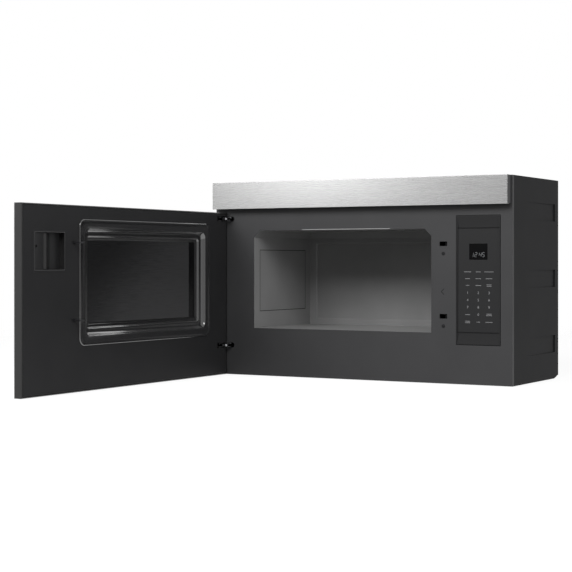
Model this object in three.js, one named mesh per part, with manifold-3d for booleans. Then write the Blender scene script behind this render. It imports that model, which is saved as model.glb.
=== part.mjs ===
// Over-the-range microwave oven with a flush, left-hinged door that stands open at a right angle.
// Millimetres, +Z up. The front faces -Y and the wall is at +Y.
// Origin: the centre of the face that lies against the wall.
// Every piece is drawn in cabinet coordinates: X from the cabinet's left side, Y from the front
// frame towards the wall, Z from the underside. The door is drawn shut and then turned open.

import * as THREE from "three";
import { mergeVertices } from "three/addons/utils/BufferGeometryUtils.js";
import Module from "manifold-3d";

// ---------------------------------------------------------------- driving dimensions
// Cabinet
const CABINET_WIDTH = 759;
const CABINET_HEIGHT = 458;
const CABINET_DEPTH = 290;
const SHEET = 1; // every folded steel sheet
const SEAT = 0.3; // gap between two pieces that rest on each other
const RUNNING_GAP = 1.5; // between a turning wheel and what surrounds it
const PAST = 1; // how far a cutting shape runs past the face that it cuts
const FRAME_RETURN = 8.7; // depth of the front frame's folded edges
const REAR_JOG_LENGTH = 14; // the side sheets step inwards near the wall
const REAR_JOG = 0.8;
const REAR_CORNER_LENGTH = 30; // sloped lower rear corner
const REAR_CORNER_RISE = 7;

// Embossed pads on both sides
const PAD_START = 70;
const PAD_FROM_BACK = 23.5;
const PAD_DEPTH = 3.2;
const PAD_HEIGHT = 39.5;
const LOWEST_PAD = 80.5;
const HIGHEST_PAD_FROM_TOP = 75.5;

// Cavity, between the bay behind the left side, the control bay and the vent compartment
const LEFT_BAY = 106;
const CONTROL_BAY = 192;
const CAVITY_FLOOR = 112.3;
const VENT_COMPARTMENT = 114.2;
const CAVITY_TO_WALL = 16;
const CEILING_CHAMFER = 16.5;
const WELD_FLANGE = 10;
const BACK_FIELD_INSET = 17;
const BACK_FIELD_RISE = 12.5;
const BACK_FIELD_DROP = 26.4;
const BACK_FIELD_DEPTH = 3;

// Microwave feed on the left cavity wall
const FEED_FRONT = 28.5;
const FEED_LENGTH = 219.5;
const FEED_RISE = 40.2;
const FEED_DROP = 46.8; // from the cavity's ceiling to the feed window
const FEED_GAP = 0.6;
const FEED_BOX_DEPTH = 36;
const FEED_FLANGE = 8;
const GUIDE_WIDTH = 86;
const GUIDE_OVER_CAVITY = 5.7;

// Magnetron
const MAGNETRON_WIDTH = 80;
const MAGNETRON_YOKE = 54;
const YOKE_PLATE = 1.6;
const ANODE_RADIUS = 16;
const MAGNET_RADIUS = 26;
const MAGNET_HEIGHT = 11;
const COOLING_FIN = 0.8;
const COOLING_FINS = 6;
const FILTER_BOX_WIDTH = 58;
const FILTER_BOX_HEIGHT = 30;
const ANTENNA_RADIUS = 8;
const ANTENNA_LENGTH = 20;

// Mode stirrer and its motor
const STIRRER_RADIUS = 52;
const STIRRER_VANES = 4;
const STIRRER_SHEET = 1.2;
const STIRRER_PITCH = 25; // degrees
const STIRRER_SHAFT = 3;
const STIRRER_STAND_OFF = 10;
const STIRRER_MOTOR_RADIUS = 24;
const STIRRER_MOTOR_DEPTH = 16;

// Cooling fan
const FAN_RADIUS = 42;
const FAN_BLADES = 7;
const FAN_PITCH = 32; // degrees
const FAN_DEPTH = 18;
const FAN_HUB = 12.5;
const FAN_SHAFT = 2;
const FAN_FROM_WALL = 86;
const FAN_OVER_MAGNETRON = 47;
const FAN_MOTOR_STACK = 20;
const FAN_MOTOR_SIZE = 46;

// Vent blower: a wheel in a scroll on each side of one motor
const BLOWER_FROM_WALL = 76;
const BLOWER_OVER_CAVITY = 57.2;
const BLOWER_WHEEL_RADIUS = 40;
const BLOWER_WHEEL_WIDTH = 84;
const BLOWER_BLADES = 20;
const BLOWER_BLADE_DEPTH = 7.5;
const BLOWER_BLADE_PITCH = 28; // degrees
const SCROLL_START = 44;
const SCROLL_END = 54;
const SCROLL_FROM = 138; // degrees
const SCROLL_TO = 450; // degrees
const SCROLL_SIDE_GAP = 3;
const BLOWER_INLET = 33;
const BLOWER_SPREAD = 96; // from the motor's middle to each wheel's middle
const BLOWER_MOTOR_RADIUS = 38;
const BLOWER_MOTOR_LENGTH = 78;
const BLOWER_SHAFT = 4;
const DUCT_FRONT = 60;
const DUCT_HEIGHT = 22;

// Exhaust opening, bolt holes and cord bushing on the top
const EXHAUST_WIDTH = 254;
const EXHAUST_LENGTH = 83;
const EXHAUST_FROM_WALL = 15;
const EXHAUST_LAP = 6;
const BOLT_HOLE = 4.5;
const BOLT_SPREAD = 460;
const BOLT_Y = 120;
const BUSHING_FROM_SIDE = 59;
const BUSHING_FROM_WALL = 50;
const BUSHING_HOLE = 11;
const BUSHING_WALL = 5;
const BUSHING_LIP = 3; // its lip stands under the top sheet, so the top stays flush
const BUSHING_RIM = 1.6;
const BUSHING_LENGTH = 12;

// Base: grease filters, lamps and air intake
const FILTER_FROM_SIDE = 109.5;
const FILTER_FROM_MIDDLE = 40;
const FILTER_FRONT = 95;
const FILTER_FROM_REAR = 15;
const FILTER_THICKNESS = 7;
const FILTER_RIM = 9;
const FILTER_TRAVEL = 13;
const FILTER_LEFT_LAP = 12;
const FILTER_RIGHT_LAP = 3;
const RAIL_LIP = 4;
const PAN_EDGE = 14;
const LAMP_LENGTH = 70;
const LAMP_WIDTH = 35;
const LAMP_FRONT = 25;
const LAMP_FROM_MIDDLE = 160;
const LAMP_HEIGHT = 24;
const LENS_LAP = 5;
const LENS_THICKNESS = 1.8;
const LENS_FLUTES = 9;
const INTAKE_SLOTS = 7;
const INTAKE_PITCH = 9;
const INTAKE_SLOT = 4;
const INTAKE_LENGTH = 56;
const INTAKE_FROM_SIDE = 12;

// High voltage parts
const TRANSFORMER_WIDTH = 70;
const TRANSFORMER_STACK = 46;
const TRANSFORMER_HEIGHT = 64;
const TRANSFORMER_COIL_OVERHANG = 14;
const CAPACITOR_LENGTH = 52;
const CAPACITOR_WIDTH = 34;
const CAPACITOR_HEIGHT = 88;
const CAPACITOR_Y = 110;

// Back panel and wall plate
const BACK_GAP = 7; // from the back panel to the wall
const HOOK_WIDTH = 40;
const HOOK_HEIGHT = 18;
const HOOK_SPREAD = 560;
const HOOK_BOTTOM = 34;
const HOOK_SHEET = 1.5;
const PLATE_SHEET = 1.2;
const PLATE_MARGIN = 12;
const PLATE_BOTTOM = 20;
const PLATE_FROM_TOP = 40;
const PLATE_WINDOW_WIDTH = 200;
const PLATE_WINDOW_HEIGHT = 250;
const PLATE_WINDOW_SPREAD = 360;
const SPACER_WIDTH = 48;
const SPACER_HEIGHT = 16;

// Top trim
const TRIM_HEIGHT = 63.1;
const TRIM_DEPTH = 22;
const TRIM_INSET = 3;
const TRIM_LIP = 8;
const CAP_THICKNESS = 2;
const VENT_SLOTS = 5;
const VENT_SLOT_LENGTH = 40;
const VENT_SLOT_HEIGHT = 12;
const VENT_SLOT_PITCH = 50;
const VENT_ROW_PITCH = 16;
const CHARCOAL_DEPTH = 14;
const CHARCOAL_HEIGHT = 52;

// Control panel
const PANEL_FROM_SIDE = 28.2;
const PANEL_WIDTH = 103;
const PANEL_HEIGHT = 283.8;
const PANEL_RAMP = 27;
const PANEL_PROUD = 0.8;
const PANEL_RECESS = 2.3;
const PANEL_FLANGE = 1.5;
const PANEL_MARGIN = 3;
const PANEL_LAP = 6;
const DISPLAY_WIDTH = 42.4;
const DISPLAY_HEIGHT = 35;
const DISPLAY_FROM_RECESS = 35;
const OVERLAY = 0.5;
const BOARD_THICKNESS = 1.6;
const BOARD_STAND_OFF = 13;
const BOARD_MARGIN = 5;
const RELAYS = 4;
const RELAY_SIZE = 22;
const RELAY_HEIGHT = 17;
const RELAY_PITCH = 26;
const BOARD_COIL_SIZE = 34;
const BOARD_COIL_HEIGHT = 30;
const BOARD_PLUG_HEIGHT = 10;
const CAN_CAPACITORS = 3;
const CAN_RADIUS = 7;
const CAN_HEIGHT = 18;
const SOLDER_SINK = 0.2; // how far the parts on the board reach into it

// Latch
const LATCH_FROM_CAVITY = 26.4;
const LATCH_UNDER_CEILING = 34.3;
const LATCH_OVER_FLOOR = 36.6;
const LATCH_SLOT_WIDTH = 18.6;
const LATCH_SLOT_HEIGHT = 10.2;
const LATCH_SLOT_OFFSET = 3;
const HOOK_REACH = 26.5;
const HOOK_THICKNESS = 3;
const HOOK_BODY = 6;
const HOOK_BARB = 3.4;
const HOOK_SLOT_GAP = 1;
const LATCH_BAR = 8;
const LATCH_BAR_OVER = 9; // bar beyond each hook
const TRUNNION = 2.5;
const TRUNNION_LENGTH = 10;
const SPRING_SPACE = 12;
const SPRING_TURNS = 4.25;
const SPRING_WIRE = 1.1;
const SPRING_PITCH = 1.8;
const SPRING_LEG = 11;
const GUIDE_DEPTH = 28;
const GUIDE_WALL = 1.5;
const SWITCH_THICKNESS = 10;
const SWITCH_LENGTH = 28;
const SWITCH_HEIGHT = 16;
const SCREW_DROP = 21.5; // screw below each latch slot
const SCREW_SHANK = 2;
const SCREW_HEAD = 4;
const SCREW_LENGTH = 8;

// Door
const DOOR_GAP = 8; // between the door and the top trim
const DOOR_END_INSET = 0.5; // the free end stops short of the cabinet's side
const DOOR_THICKNESS = 19.6;
const DOOR_OPEN_ANGLE = 90; // degrees
const DOOR_RIM = 5;
const DOOR_HINGE_RIM = 8;
const DOOR_BACK_WALL = 1.5;
const DOOR_CHAMFER = 2.2;
const FACING = 1;
const LINER = 1.5;
const RIB = 2;
const HINGE_FROM_END = 14.7;
const HINGE_FROM_FACE = 5.7;
const UPPER_HINGE_FROM_TOP = 15;
const LOWER_HINGE = 70;
const PIN_RADIUS = 2.5;
const PIN_LENGTH = 24;
const PIN_CLEARANCE = 0.3;
const ARM_THICKNESS = 4.5;
const ARM_WIDTH = 8;
const ARM_REACH = 23.3;
const ARM_SLOT_LENGTH = 19.8;
const ARM_SLOT_HEIGHT = 12;
const BRACKET_HEIGHT = 54;
const BRACKET_WIDTH = 38;
const BRACKET_SHEET = 2;

// Door window
const GLASS_SIDE_LAP = 18;
const GLASS_BOTTOM_LAP = 37;
const GLASS_TOP_LAP = 4;
const GLASS_THICKNESS = 3.2;
const GLASS_LEDGE = 5;
const COVER_LEFT_LAP = 24;
const COVER_RIGHT_LAP = 9.4;
const COVER_BOTTOM_LAP = 17.3;
const COVER_TOP_LAP = 14.7;
const COVER_RADIUS = 16;
const COVER_WALL = 1.5;
const COVER_PROUD = 1.2;
const COVER_SEAT_LAP = 3;
const COVER_SKIRT = 7;
const COVER_BEAD = 1.8;
const COVER_BEAD_HEIGHT = 0.8;
const COVER_BAND = 19.3; // flat from the rim to here, then two slopes with a ledge between them
const UPPER_SLOPE = 8;
const UPPER_DROP = 8.5;
const COVER_LEDGE = 6.5;
const LOWER_SLOPE = 3.7;
const LOWER_DROP = 4;
const COVER_BORDER = 6.1;
const COVER_RADIUS_LOSS = 0.55; // how fast the corners tighten inside the band
const WINDOW_DEPTH = 12.4;
const FILM = 0.8;
const FILM_INSET = 17.5; // these three are measured in from the choke cover's rim
const SCREEN_INSET = 5.5;
const FRAME_WINDOW_INSET = 9.5;

// Door pull pocket
const POCKET_FROM_END = 38.6;
const POCKET_WIDTH = 94.6;
const POCKET_FROM_TOP = 57.8;
const POCKET_HEIGHT = 75.2;
const POCKET_WALL = 1.6;
const POCKET_FLOOR = 3;
const POCKET_MOUTH_INSET = 5;
const POCKET_MOUTH_WIDTH = 52;
const POCKET_MOUTH_RIM = 4;
const POCKET_BEZEL = 4.5;
const POCKET_BEZEL_PROUD = 0.8;
const POCKET_SHALLOW = 2.2;

// ---------------------------------------------------------------- materials
function finish(name, color, roughness, metalness, opacity = 1) {
  const material = new THREE.MeshStandardMaterial({ color, roughness, metalness, opacity });
  material.name = name;
  material.transparent = opacity < 1;
  return material;
}
const blackPaint = finish("black_paint", 0x2b2b2d, 0.55, 0.2);
const frontPaint = finish("front_paint", 0x404042, 0.5, 0.2);
const cavityPaint = finish("cavity_paint", 0x565656, 0.45, 0.2);
const brushedSteel = finish("brushed_steel", 0xc6c6c6, 0.32, 1);
const zincSteel = finish("zinc_steel", 0xa7abad, 0.45, 0.9);
const brightSteel = finish("bright_steel", 0xd6d6d6, 0.25, 1);
const darkPlastic = finish("dark_plastic", 0x333335, 0.5, 0);
const glossPlastic = finish("gloss_plastic", 0x2c2c2e, 0.2, 0);
const whitePlastic = finish("white_plastic", 0xe4e2dc, 0.5, 0);
const smokedGlass = finish("smoked_glass", 0x101012, 0.05, 0, 0.6);
const clearGlass = finish("clear_glass", 0xe8f0f0, 0.05, 0, 0.35);
const aluminium = finish("aluminium", 0xc9cbcc, 0.35, 1);
const mica = finish("mica", 0x5a5855, 0.6, 0);
const circuitBoard = finish("circuit_board", 0x2f6b3f, 0.5, 0);
const copper = finish("copper", 0xb06a3c, 0.35, 1);
const carbon = finish("carbon", 0x1d1d1d, 0.9, 0);

// ---------------------------------------------------------------- solids
const wasm = await Module();
wasm.setup();
const DEGREE = Math.PI / 180;

// A three.js geometry as a closed solid with its faces pointing out.
function solid(geometry) {
  const bare = geometry.clone();
  bare.deleteAttribute("normal");
  bare.deleteAttribute("uv");
  const merged = mergeVertices(bare, 1e-4);
  const points = merged.getAttribute("position").array;
  const corners = merged.getIndex().array;
  const kept = [];
  let volume = 0;
  const [a, b, c] = [new THREE.Vector3(), new THREE.Vector3(), new THREE.Vector3()];
  for (let i = 0; i < corners.length; i += 3) {
    const [p, q, r] = corners.slice(i, i + 3);
    if (p === q || q === r || r === p) continue;
    kept.push(p, q, r);
    b.fromArray(points, 3 * q).cross(c.fromArray(points, 3 * r));
    volume += a.fromArray(points, 3 * p).dot(b);
  }
  if (volume < 0) kept.reverse();
  return new wasm.Manifold(new wasm.Mesh({
    numProp: 3,
    vertProperties: new Float32Array(points),
    triVerts: new Uint32Array(kept),
  }));
}

function join(...parts) {
  return parts.reduce((whole, part) => whole.add(part));
}

function cut(body, ...tools) {
  return tools.reduce((left, tool) => left.subtract(tool), body);
}

function block(x0, x1, y0, y1, z0, z1) {
  const geometry = new THREE.BoxGeometry(x1 - x0, y1 - y0, z1 - z0);
  geometry.translate((x0 + x1) / 2, (y0 + y1) / 2, (z0 + z1) / 2);
  return solid(geometry);
}

// A block whose far end along Y is smaller all round by a draft.
function taperedBlock(x0, x1, yNear, yFar, z0, z1, draft) {
  const geometry = new THREE.BoxGeometry(x1 - x0, 1, z1 - z0);
  const spots = geometry.getAttribute("position");
  for (let i = 0; i < spots.count; i += 1) {
    const [x, y, z] = [spots.getX(i), spots.getY(i), spots.getZ(i)];
    const pull = y > 0 ? draft : 0;
    spots.setXYZ(
      i, x - Math.sign(x) * pull + (x0 + x1) / 2, y > 0 ? yFar : yNear,
      z - Math.sign(z) * pull + (z0 + z1) / 2);
  }
  return solid(geometry);
}

// A flat outline pushed along one axis: u, v are x, y for "z", x, z for "y" and y, z for "x".
function prism(shape, axis, from, to, curveSegments = 3) {
  const settings = { depth: to - from, bevelEnabled: false, curveSegments };
  const geometry = new THREE.ExtrudeGeometry(shape, settings);
  const place = new THREE.Matrix4();
  if (axis === "z") place.makeTranslation(0, 0, from);
  if (axis === "y") place.set(1, 0, 0, 0, 0, 0, 1, from, 0, 1, 0, 0, 0, 0, 0, 1);
  if (axis === "x") place.set(0, 0, 1, from, 1, 0, 0, 0, 0, 1, 0, 0, 0, 0, 0, 1);
  geometry.applyMatrix4(place);
  return solid(geometry);
}

function outline(...points) {
  return new THREE.Shape(points.map(([u, v]) => new THREE.Vector2(u, v)));
}

function roundedRect(u0, u1, v0, v1, radius) {
  const shape = new THREE.Shape();
  shape.absarc(u1 - radius, v0 + radius, radius, -Math.PI / 2, 0);
  shape.absarc(u1 - radius, v1 - radius, radius, 0, Math.PI / 2);
  shape.absarc(u0 + radius, v1 - radius, radius, Math.PI / 2, Math.PI);
  shape.absarc(u0 + radius, v0 + radius, radius, Math.PI, 1.5 * Math.PI);
  return shape;
}

// A round bar along one axis from a start point.
function rod(axis, [x, y, z], length, radius, sides = 16) {
  const geometry = new THREE.CylinderGeometry(radius, radius, length, sides);
  geometry.translate(0, length / 2, 0);
  if (axis === "x") geometry.rotateZ(-Math.PI / 2);
  if (axis === "z") geometry.rotateX(Math.PI / 2);
  geometry.translate(x, y, z);
  return solid(geometry);
}

// A turned piece from [radius, height] points.
function turned(profile, axis, [x, y, z], sides = 16) {
  const geometry = new THREE.LatheGeometry(profile.map(([r, h]) => new THREE.Vector2(r, h)), sides);
  if (axis === "z") geometry.rotateX(Math.PI / 2);
  geometry.translate(x, y, z);
  return solid(geometry);
}

function piece(name, body, material, parent) {
  const { vertProperties, triVerts } = body.getMesh();
  const geometry = new THREE.BufferGeometry();
  geometry.setAttribute("position", new THREE.BufferAttribute(vertProperties.slice(), 3));
  geometry.setIndex(new THREE.BufferAttribute(triVerts.slice(), 1));
  geometry.computeVertexNormals();
  const mesh = new THREE.Mesh(geometry, material);
  mesh.name = name;
  parent.add(mesh);
}

// ---------------------------------------------------------------- places shared by the pieces
const middleX = CABINET_WIDTH / 2;
const behindFrame = SHEET + SEAT; // first free depth behind the front plate
const trimBottom = CABINET_HEIGHT - TRIM_HEIGHT;
const underTop = CABINET_HEIGHT - SHEET - SEAT;
const cavityLeft = LEFT_BAY;
const cavityRight = CABINET_WIDTH - CONTROL_BAY;
const cavityTop = CABINET_HEIGHT - VENT_COMPARTMENT;
const cavityBack = CABINET_DEPTH - CAVITY_TO_WALL;
const cavityRoof = cavityTop + SHEET + SEAT; // what stands on the cavity starts here
const doorHeight = trimBottom - DOOR_GAP;
const doorLeft = TRIM_INSET;
const doorRight = CABINET_WIDTH - DOOR_END_INSET;
const doorOuter = -TRIM_DEPTH;
const doorInner = doorOuter + DOOR_THICKNESS;
const hingeX = doorLeft + HINGE_FROM_END;
const hingeY = doorOuter + HINGE_FROM_FACE;
const hingeHeights = [doorHeight - UPPER_HINGE_FROM_TOP, LOWER_HINGE];
const latchX = cavityRight + LATCH_FROM_CAVITY;
const latchSlotX = latchX + LATCH_SLOT_OFFSET;
const latchHigh = cavityTop - LATCH_UNDER_CEILING;
const latchLow = CAVITY_FLOOR + LATCH_OVER_FLOOR;
const latchHeights = [latchHigh, latchLow];
const panelRight = CABINET_WIDTH - PANEL_FROM_SIDE;
const panelLeft = panelRight - PANEL_WIDTH;
const panelBottom = (CABINET_HEIGHT - PANEL_HEIGHT) / 2 + SEAT;
const panelTop = panelBottom + PANEL_HEIGHT;
const armX = hingeX + ARM_REACH; // where the hinge arms enter the cabinet

const microwave = new THREE.Group();
const cabinet = new THREE.Group();
cabinet.position.set(-middleX, -CABINET_DEPTH, -CABINET_HEIGHT / 2);
microwave.add(cabinet);
const doorPivot = new THREE.Group();
doorPivot.position.set(hingeX, hingeY, 0);
doorPivot.rotation.z = -DOOR_OPEN_ANGLE * DEGREE;
cabinet.add(doorPivot);
const door = new THREE.Group();
door.position.set(-hingeX, -hingeY, 0);
doorPivot.add(door);

// The inside of the cavity seen from the front, grown by a margin.
function cavityOutline(margin) {
  const [left, right] = [cavityLeft - margin, cavityRight + margin];
  const [bottom, top] = [CAVITY_FLOOR - margin, cavityTop + margin];
  const lean = CEILING_CHAMFER + margin * (2 - Math.SQRT2);
  return outline(
    [left, bottom], [right, bottom], [right, top - lean],
    [right - lean, top], [left + lean, top], [left, top - lean]);
}

// ---------------------------------------------------------------- front frame
function makeFrontFrame() {
  const [w, h] = [CABINET_WIDTH, CABINET_HEIGHT];
  const shell = cut(
    block(0, w, 0, FRAME_RETURN, 0, h),
    block(SHEET, w - SHEET, SHEET, FRAME_RETURN + PAST, SHEET, h - SHEET));
  const throughPlate = (shape) => prism(shape, "y", -PAST, SHEET + PAST);
  const tools = [throughPlate(cavityOutline(0))];
  const panelRadius = 3;
  tools.push(throughPlate(roundedRect(
    panelLeft - SEAT, panelRight + SEAT, panelBottom - SEAT, panelTop + SEAT, panelRadius)));
  for (const z of latchHeights) {
    const [halfWidth, halfHeight] = [LATCH_SLOT_WIDTH / 2, LATCH_SLOT_HEIGHT / 2];
    tools.push(throughPlate(roundedRect(
      latchSlotX - halfWidth, latchSlotX + halfWidth, z - halfHeight, z + halfHeight, 1)));
    tools.push(rod("y", [latchSlotX, -PAST, z - SCREW_DROP], SHEET + 2 * PAST, SCREW_SHANK + SEAT, 10));
  }
  for (const z of hingeHeights) {
    const [halfLength, halfHeight] = [ARM_SLOT_LENGTH / 2, ARM_SLOT_HEIGHT / 2];
    tools.push(throughPlate(roundedRect(
      armX - halfLength, armX + halfLength, z - halfHeight, z + halfHeight, halfHeight)));
  }
  for (let i = 0; i < VENT_SLOTS; i += 1) {
    const x = middleX + (i - (VENT_SLOTS - 1) / 2) * VENT_SLOT_PITCH;
    for (const side of [-1, 1]) {
      const z = h - TRIM_HEIGHT / 2 + side * VENT_ROW_PITCH / 2;
      tools.push(block(
        x - VENT_SLOT_LENGTH / 2, x + VENT_SLOT_LENGTH / 2, -PAST, SHEET + PAST,
        z - VENT_SLOT_HEIGHT / 2, z + VENT_SLOT_HEIGHT / 2));
    }
  }
  return cut(shell, ...tools);
}

// ---------------------------------------------------------------- outer wrap and top
function makeOuterWrap() {
  const front = FRAME_RETURN + SEAT;
  const [w, h, back] = [CABINET_WIDTH, CABINET_HEIGHT, CABINET_DEPTH];
  const jogAt = back - REAR_JOG_LENGTH;
  const sideView = outline(
    [front, 0], [back - REAR_CORNER_LENGTH, 0], [back, REAR_CORNER_RISE], [back, h], [front, h]);
  const jogSheet = SHEET + REAR_JOG;
  const hollows = [
    block(SHEET, w - SHEET, front - PAST, jogAt - SHEET, -PAST, h - SHEET),
    block(jogSheet, w - jogSheet, front - PAST, back + PAST, -PAST, h - SHEET)];
  const jogs = [-PAST, w - REAR_JOG].map((x) => (
    block(x, x + REAR_JOG + PAST, jogAt, back + PAST, -PAST, h + PAST)));
  let shell = cut(prism(sideView, "x", 0, w), ...hollows, ...jogs);
  const lowest = LOWEST_PAD;
  const highest = h - HIGHEST_PAD_FROM_TOP;
  const padEnd = back - PAD_FROM_BACK;
  for (const centre of [lowest, (lowest + highest) / 2, highest]) {
    const [low, high] = [centre - PAD_HEIGHT / 2, centre + PAD_HEIGHT / 2];
    for (const [edge, inward] of [[0, 1], [w, -1]]) {
      const inner = edge + inward * SHEET;
      const deepest = inner + inward * PAD_DEPTH;
      const bulge = outline(
        [edge, PAD_START], [inner, PAD_START], [deepest, padEnd], [deepest, padEnd + SHEET],
        [edge, padEnd + SHEET]);
      const dent = outline(
        [edge - inward * PAST, PAD_START], [edge, PAD_START], [edge + inward * PAD_DEPTH, padEnd],
        [edge - inward * PAST, padEnd]);
      shell = join(shell, prism(bulge, "z", low - SHEET, high + SHEET));
      shell = cut(shell, prism(dent, "z", low, high));
    }
  }
  const holeStart = h - SHEET - PAST;
  const holeLength = SHEET + 2 * PAST;
  const bushing = [w - BUSHING_FROM_SIDE, back - BUSHING_FROM_WALL, holeStart];
  const holes = [
    block(
      middleX - EXHAUST_WIDTH / 2, middleX + EXHAUST_WIDTH / 2,
      back - EXHAUST_FROM_WALL - EXHAUST_LENGTH, back - EXHAUST_FROM_WALL, holeStart, h + PAST),
    rod("z", bushing, holeLength, BUSHING_HOLE, 24)];
  for (const side of [-1, 1]) {
    holes.push(rod("z", [middleX + side * BOLT_SPREAD / 2, BOLT_Y, holeStart], holeLength, BOLT_HOLE));
  }
  return cut(shell, ...holes);
}

function makeExhaustCover() {
  const halfWidth = EXHAUST_WIDTH / 2;
  const back = CABINET_DEPTH - EXHAUST_FROM_WALL;
  const front = back - EXHAUST_LENGTH;
  const plate = block(
    middleX - halfWidth - EXHAUST_LAP, middleX + halfWidth + EXHAUST_LAP,
    front - EXHAUST_LAP, back + EXHAUST_LAP / 2, underTop - SHEET, underTop);
  const inset = 2 * EXHAUST_LAP;
  const field = block(
    middleX - halfWidth + inset, middleX + halfWidth - inset,
    front + inset, back - inset, underTop - SHEET, underTop + SHEET);
  return join(plate, field);
}

function makeCordBushing() {
  const neck = BUSHING_HOLE - SEAT;
  const bore = BUSHING_HOLE - BUSHING_WALL;
  const shoulder = -SHEET - SEAT;
  const rounding = 1;
  const profile = [
    [bore, -BUSHING_LENGTH + rounding], [bore + rounding, -BUSHING_LENGTH],
    [neck - rounding, -BUSHING_LENGTH], [neck, -BUSHING_LENGTH + rounding],
    [neck, shoulder - BUSHING_RIM], [neck + BUSHING_LIP, shoulder - BUSHING_RIM],
    [neck + BUSHING_LIP, shoulder], [neck, shoulder], [neck, 0], [bore + rounding, 0],
    [bore, -rounding], [bore, -BUSHING_LENGTH + rounding]];
  const place = [CABINET_WIDTH - BUSHING_FROM_SIDE, CABINET_DEPTH - BUSHING_FROM_WALL, CABINET_HEIGHT];
  return turned(profile, "z", place, 20);
}

// ---------------------------------------------------------------- cavity
function makeCavityLiner() {
  const skinBack = cavityBack + SHEET;
  const skin = join(
    prism(cavityOutline(SHEET), "y", behindFrame, skinBack),
    prism(cavityOutline(WELD_FLANGE), "y", behindFrame, behindFrame + SHEET));
  const [left, right] = [cavityLeft + BACK_FIELD_INSET, cavityRight - BACK_FIELD_INSET];
  const [low, high] = [CAVITY_FLOOR + BACK_FIELD_RISE, cavityTop - BACK_FIELD_DROP];
  const overlap = 0.01;
  const fieldSkin = taperedBlock(
    left - SHEET, right + SHEET, skinBack - SHEET / 2, skinBack + BACK_FIELD_DEPTH,
    low - SHEET, high + SHEET, BACK_FIELD_DEPTH);
  const fieldHollow = taperedBlock(
    left, right, cavityBack - overlap, cavityBack + BACK_FIELD_DEPTH, low, high, BACK_FIELD_DEPTH);
  const ease = SHEET / 2;
  const backChamfer = prism(outline(
    [cavityBack - CEILING_CHAMFER, cavityTop + ease], [cavityBack + ease, cavityTop - CEILING_CHAMFER],
    [cavityBack + ease, cavityTop + ease]), "x", cavityLeft - PAST, cavityRight + PAST);
  const inside = cut(prism(cavityOutline(0), "y", 0, cavityBack), backChamfer);
  const aperture = block(
    cavityLeft - SHEET - PAST, cavityLeft + PAST, FEED_FRONT - FEED_GAP, feedBack + FEED_GAP,
    feedBottom - FEED_GAP, feedTop + FEED_GAP);
  return cut(join(skin, fieldSkin), inside, fieldHollow, aperture);
}

// ---------------------------------------------------------------- microwave feed
const feedBack = FEED_FRONT + FEED_LENGTH;
const feedBottom = CAVITY_FLOOR + FEED_RISE;
const feedTop = cavityTop - FEED_DROP;
const feedOuter = cavityLeft - SHEET - SEAT; // the feed box's flange lies against the liner
const feedInner = feedOuter - FEED_BOX_DEPTH;
const feedMiddleY = (FEED_FRONT + feedBack) / 2;
const feedMiddleZ = (feedBottom + feedTop) / 2;
const feedLip = FEED_FLANGE / 2;
const guideFront = feedMiddleY - GUIDE_WIDTH / 2;
const guideBack = feedMiddleY + GUIDE_WIDTH / 2;
const guideTop = cavityTop + GUIDE_OVER_CAVITY;
const antennaX = (feedOuter + feedInner) / 2;

function makeFeedCover() {
  return block(cavityLeft - SHEET, cavityLeft, FEED_FRONT, feedBack, feedBottom, feedTop);
}

function makeFeedBox() {
  const [flange, lip] = [FEED_FLANGE, feedLip];
  const plate = block(
    feedOuter - SHEET, feedOuter, FEED_FRONT - flange, feedBack + flange,
    feedBottom - flange, feedTop + flange);
  const box = block(
    feedInner, feedOuter, FEED_FRONT + lip, feedBack - lip, feedBottom + lip, feedTop - lip);
  const wall = lip + SHEET;
  const hollow = block(
    feedInner + SHEET, feedOuter + PAST, FEED_FRONT + wall, feedBack - wall,
    feedBottom + wall, feedTop - wall);
  const port = block(
    feedInner + SHEET, feedOuter - SHEET, guideFront, guideBack, feedTop - wall - PAST, feedTop);
  const shaftHole = rod(
    "x", [feedInner - PAST, feedMiddleY, feedMiddleZ], SHEET + 2 * PAST, STIRRER_SHAFT + RUNNING_GAP);
  return cut(join(plate, box), hollow, port, shaftHole);
}

// The waveguide's throat stands on the feed box and widens above its flange.
function makeWaveguide() {
  const shoulder = feedTop + FEED_FLANGE + SEAT;
  const foot = feedTop - feedLip + SEAT;
  const throatRight = feedOuter - 2 * SHEET - SEAT;
  const [front, back] = [guideFront - SHEET, guideBack + SHEET];
  const tube = block(feedInner, feedOuter, front, back, shoulder, guideTop);
  const throat = block(feedInner, throatRight, front, back, foot, shoulder);
  const hollow = block(
    feedInner + SHEET, feedOuter - SHEET, guideFront, guideBack, shoulder + SHEET, guideTop - SHEET);
  const passage = block(
    feedInner + SHEET, throatRight - SHEET, guideFront, guideBack, foot - PAST, shoulder + SHEET + PAST);
  const antennaHole = rod(
    "z", [antennaX, feedMiddleY, guideTop - SHEET - PAST], SHEET + 2 * PAST,
    ANTENNA_RADIUS + RUNNING_GAP);
  return cut(join(tube, throat), hollow, passage, antennaHole);
}

const magnetronBase = guideTop + SEAT;

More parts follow.
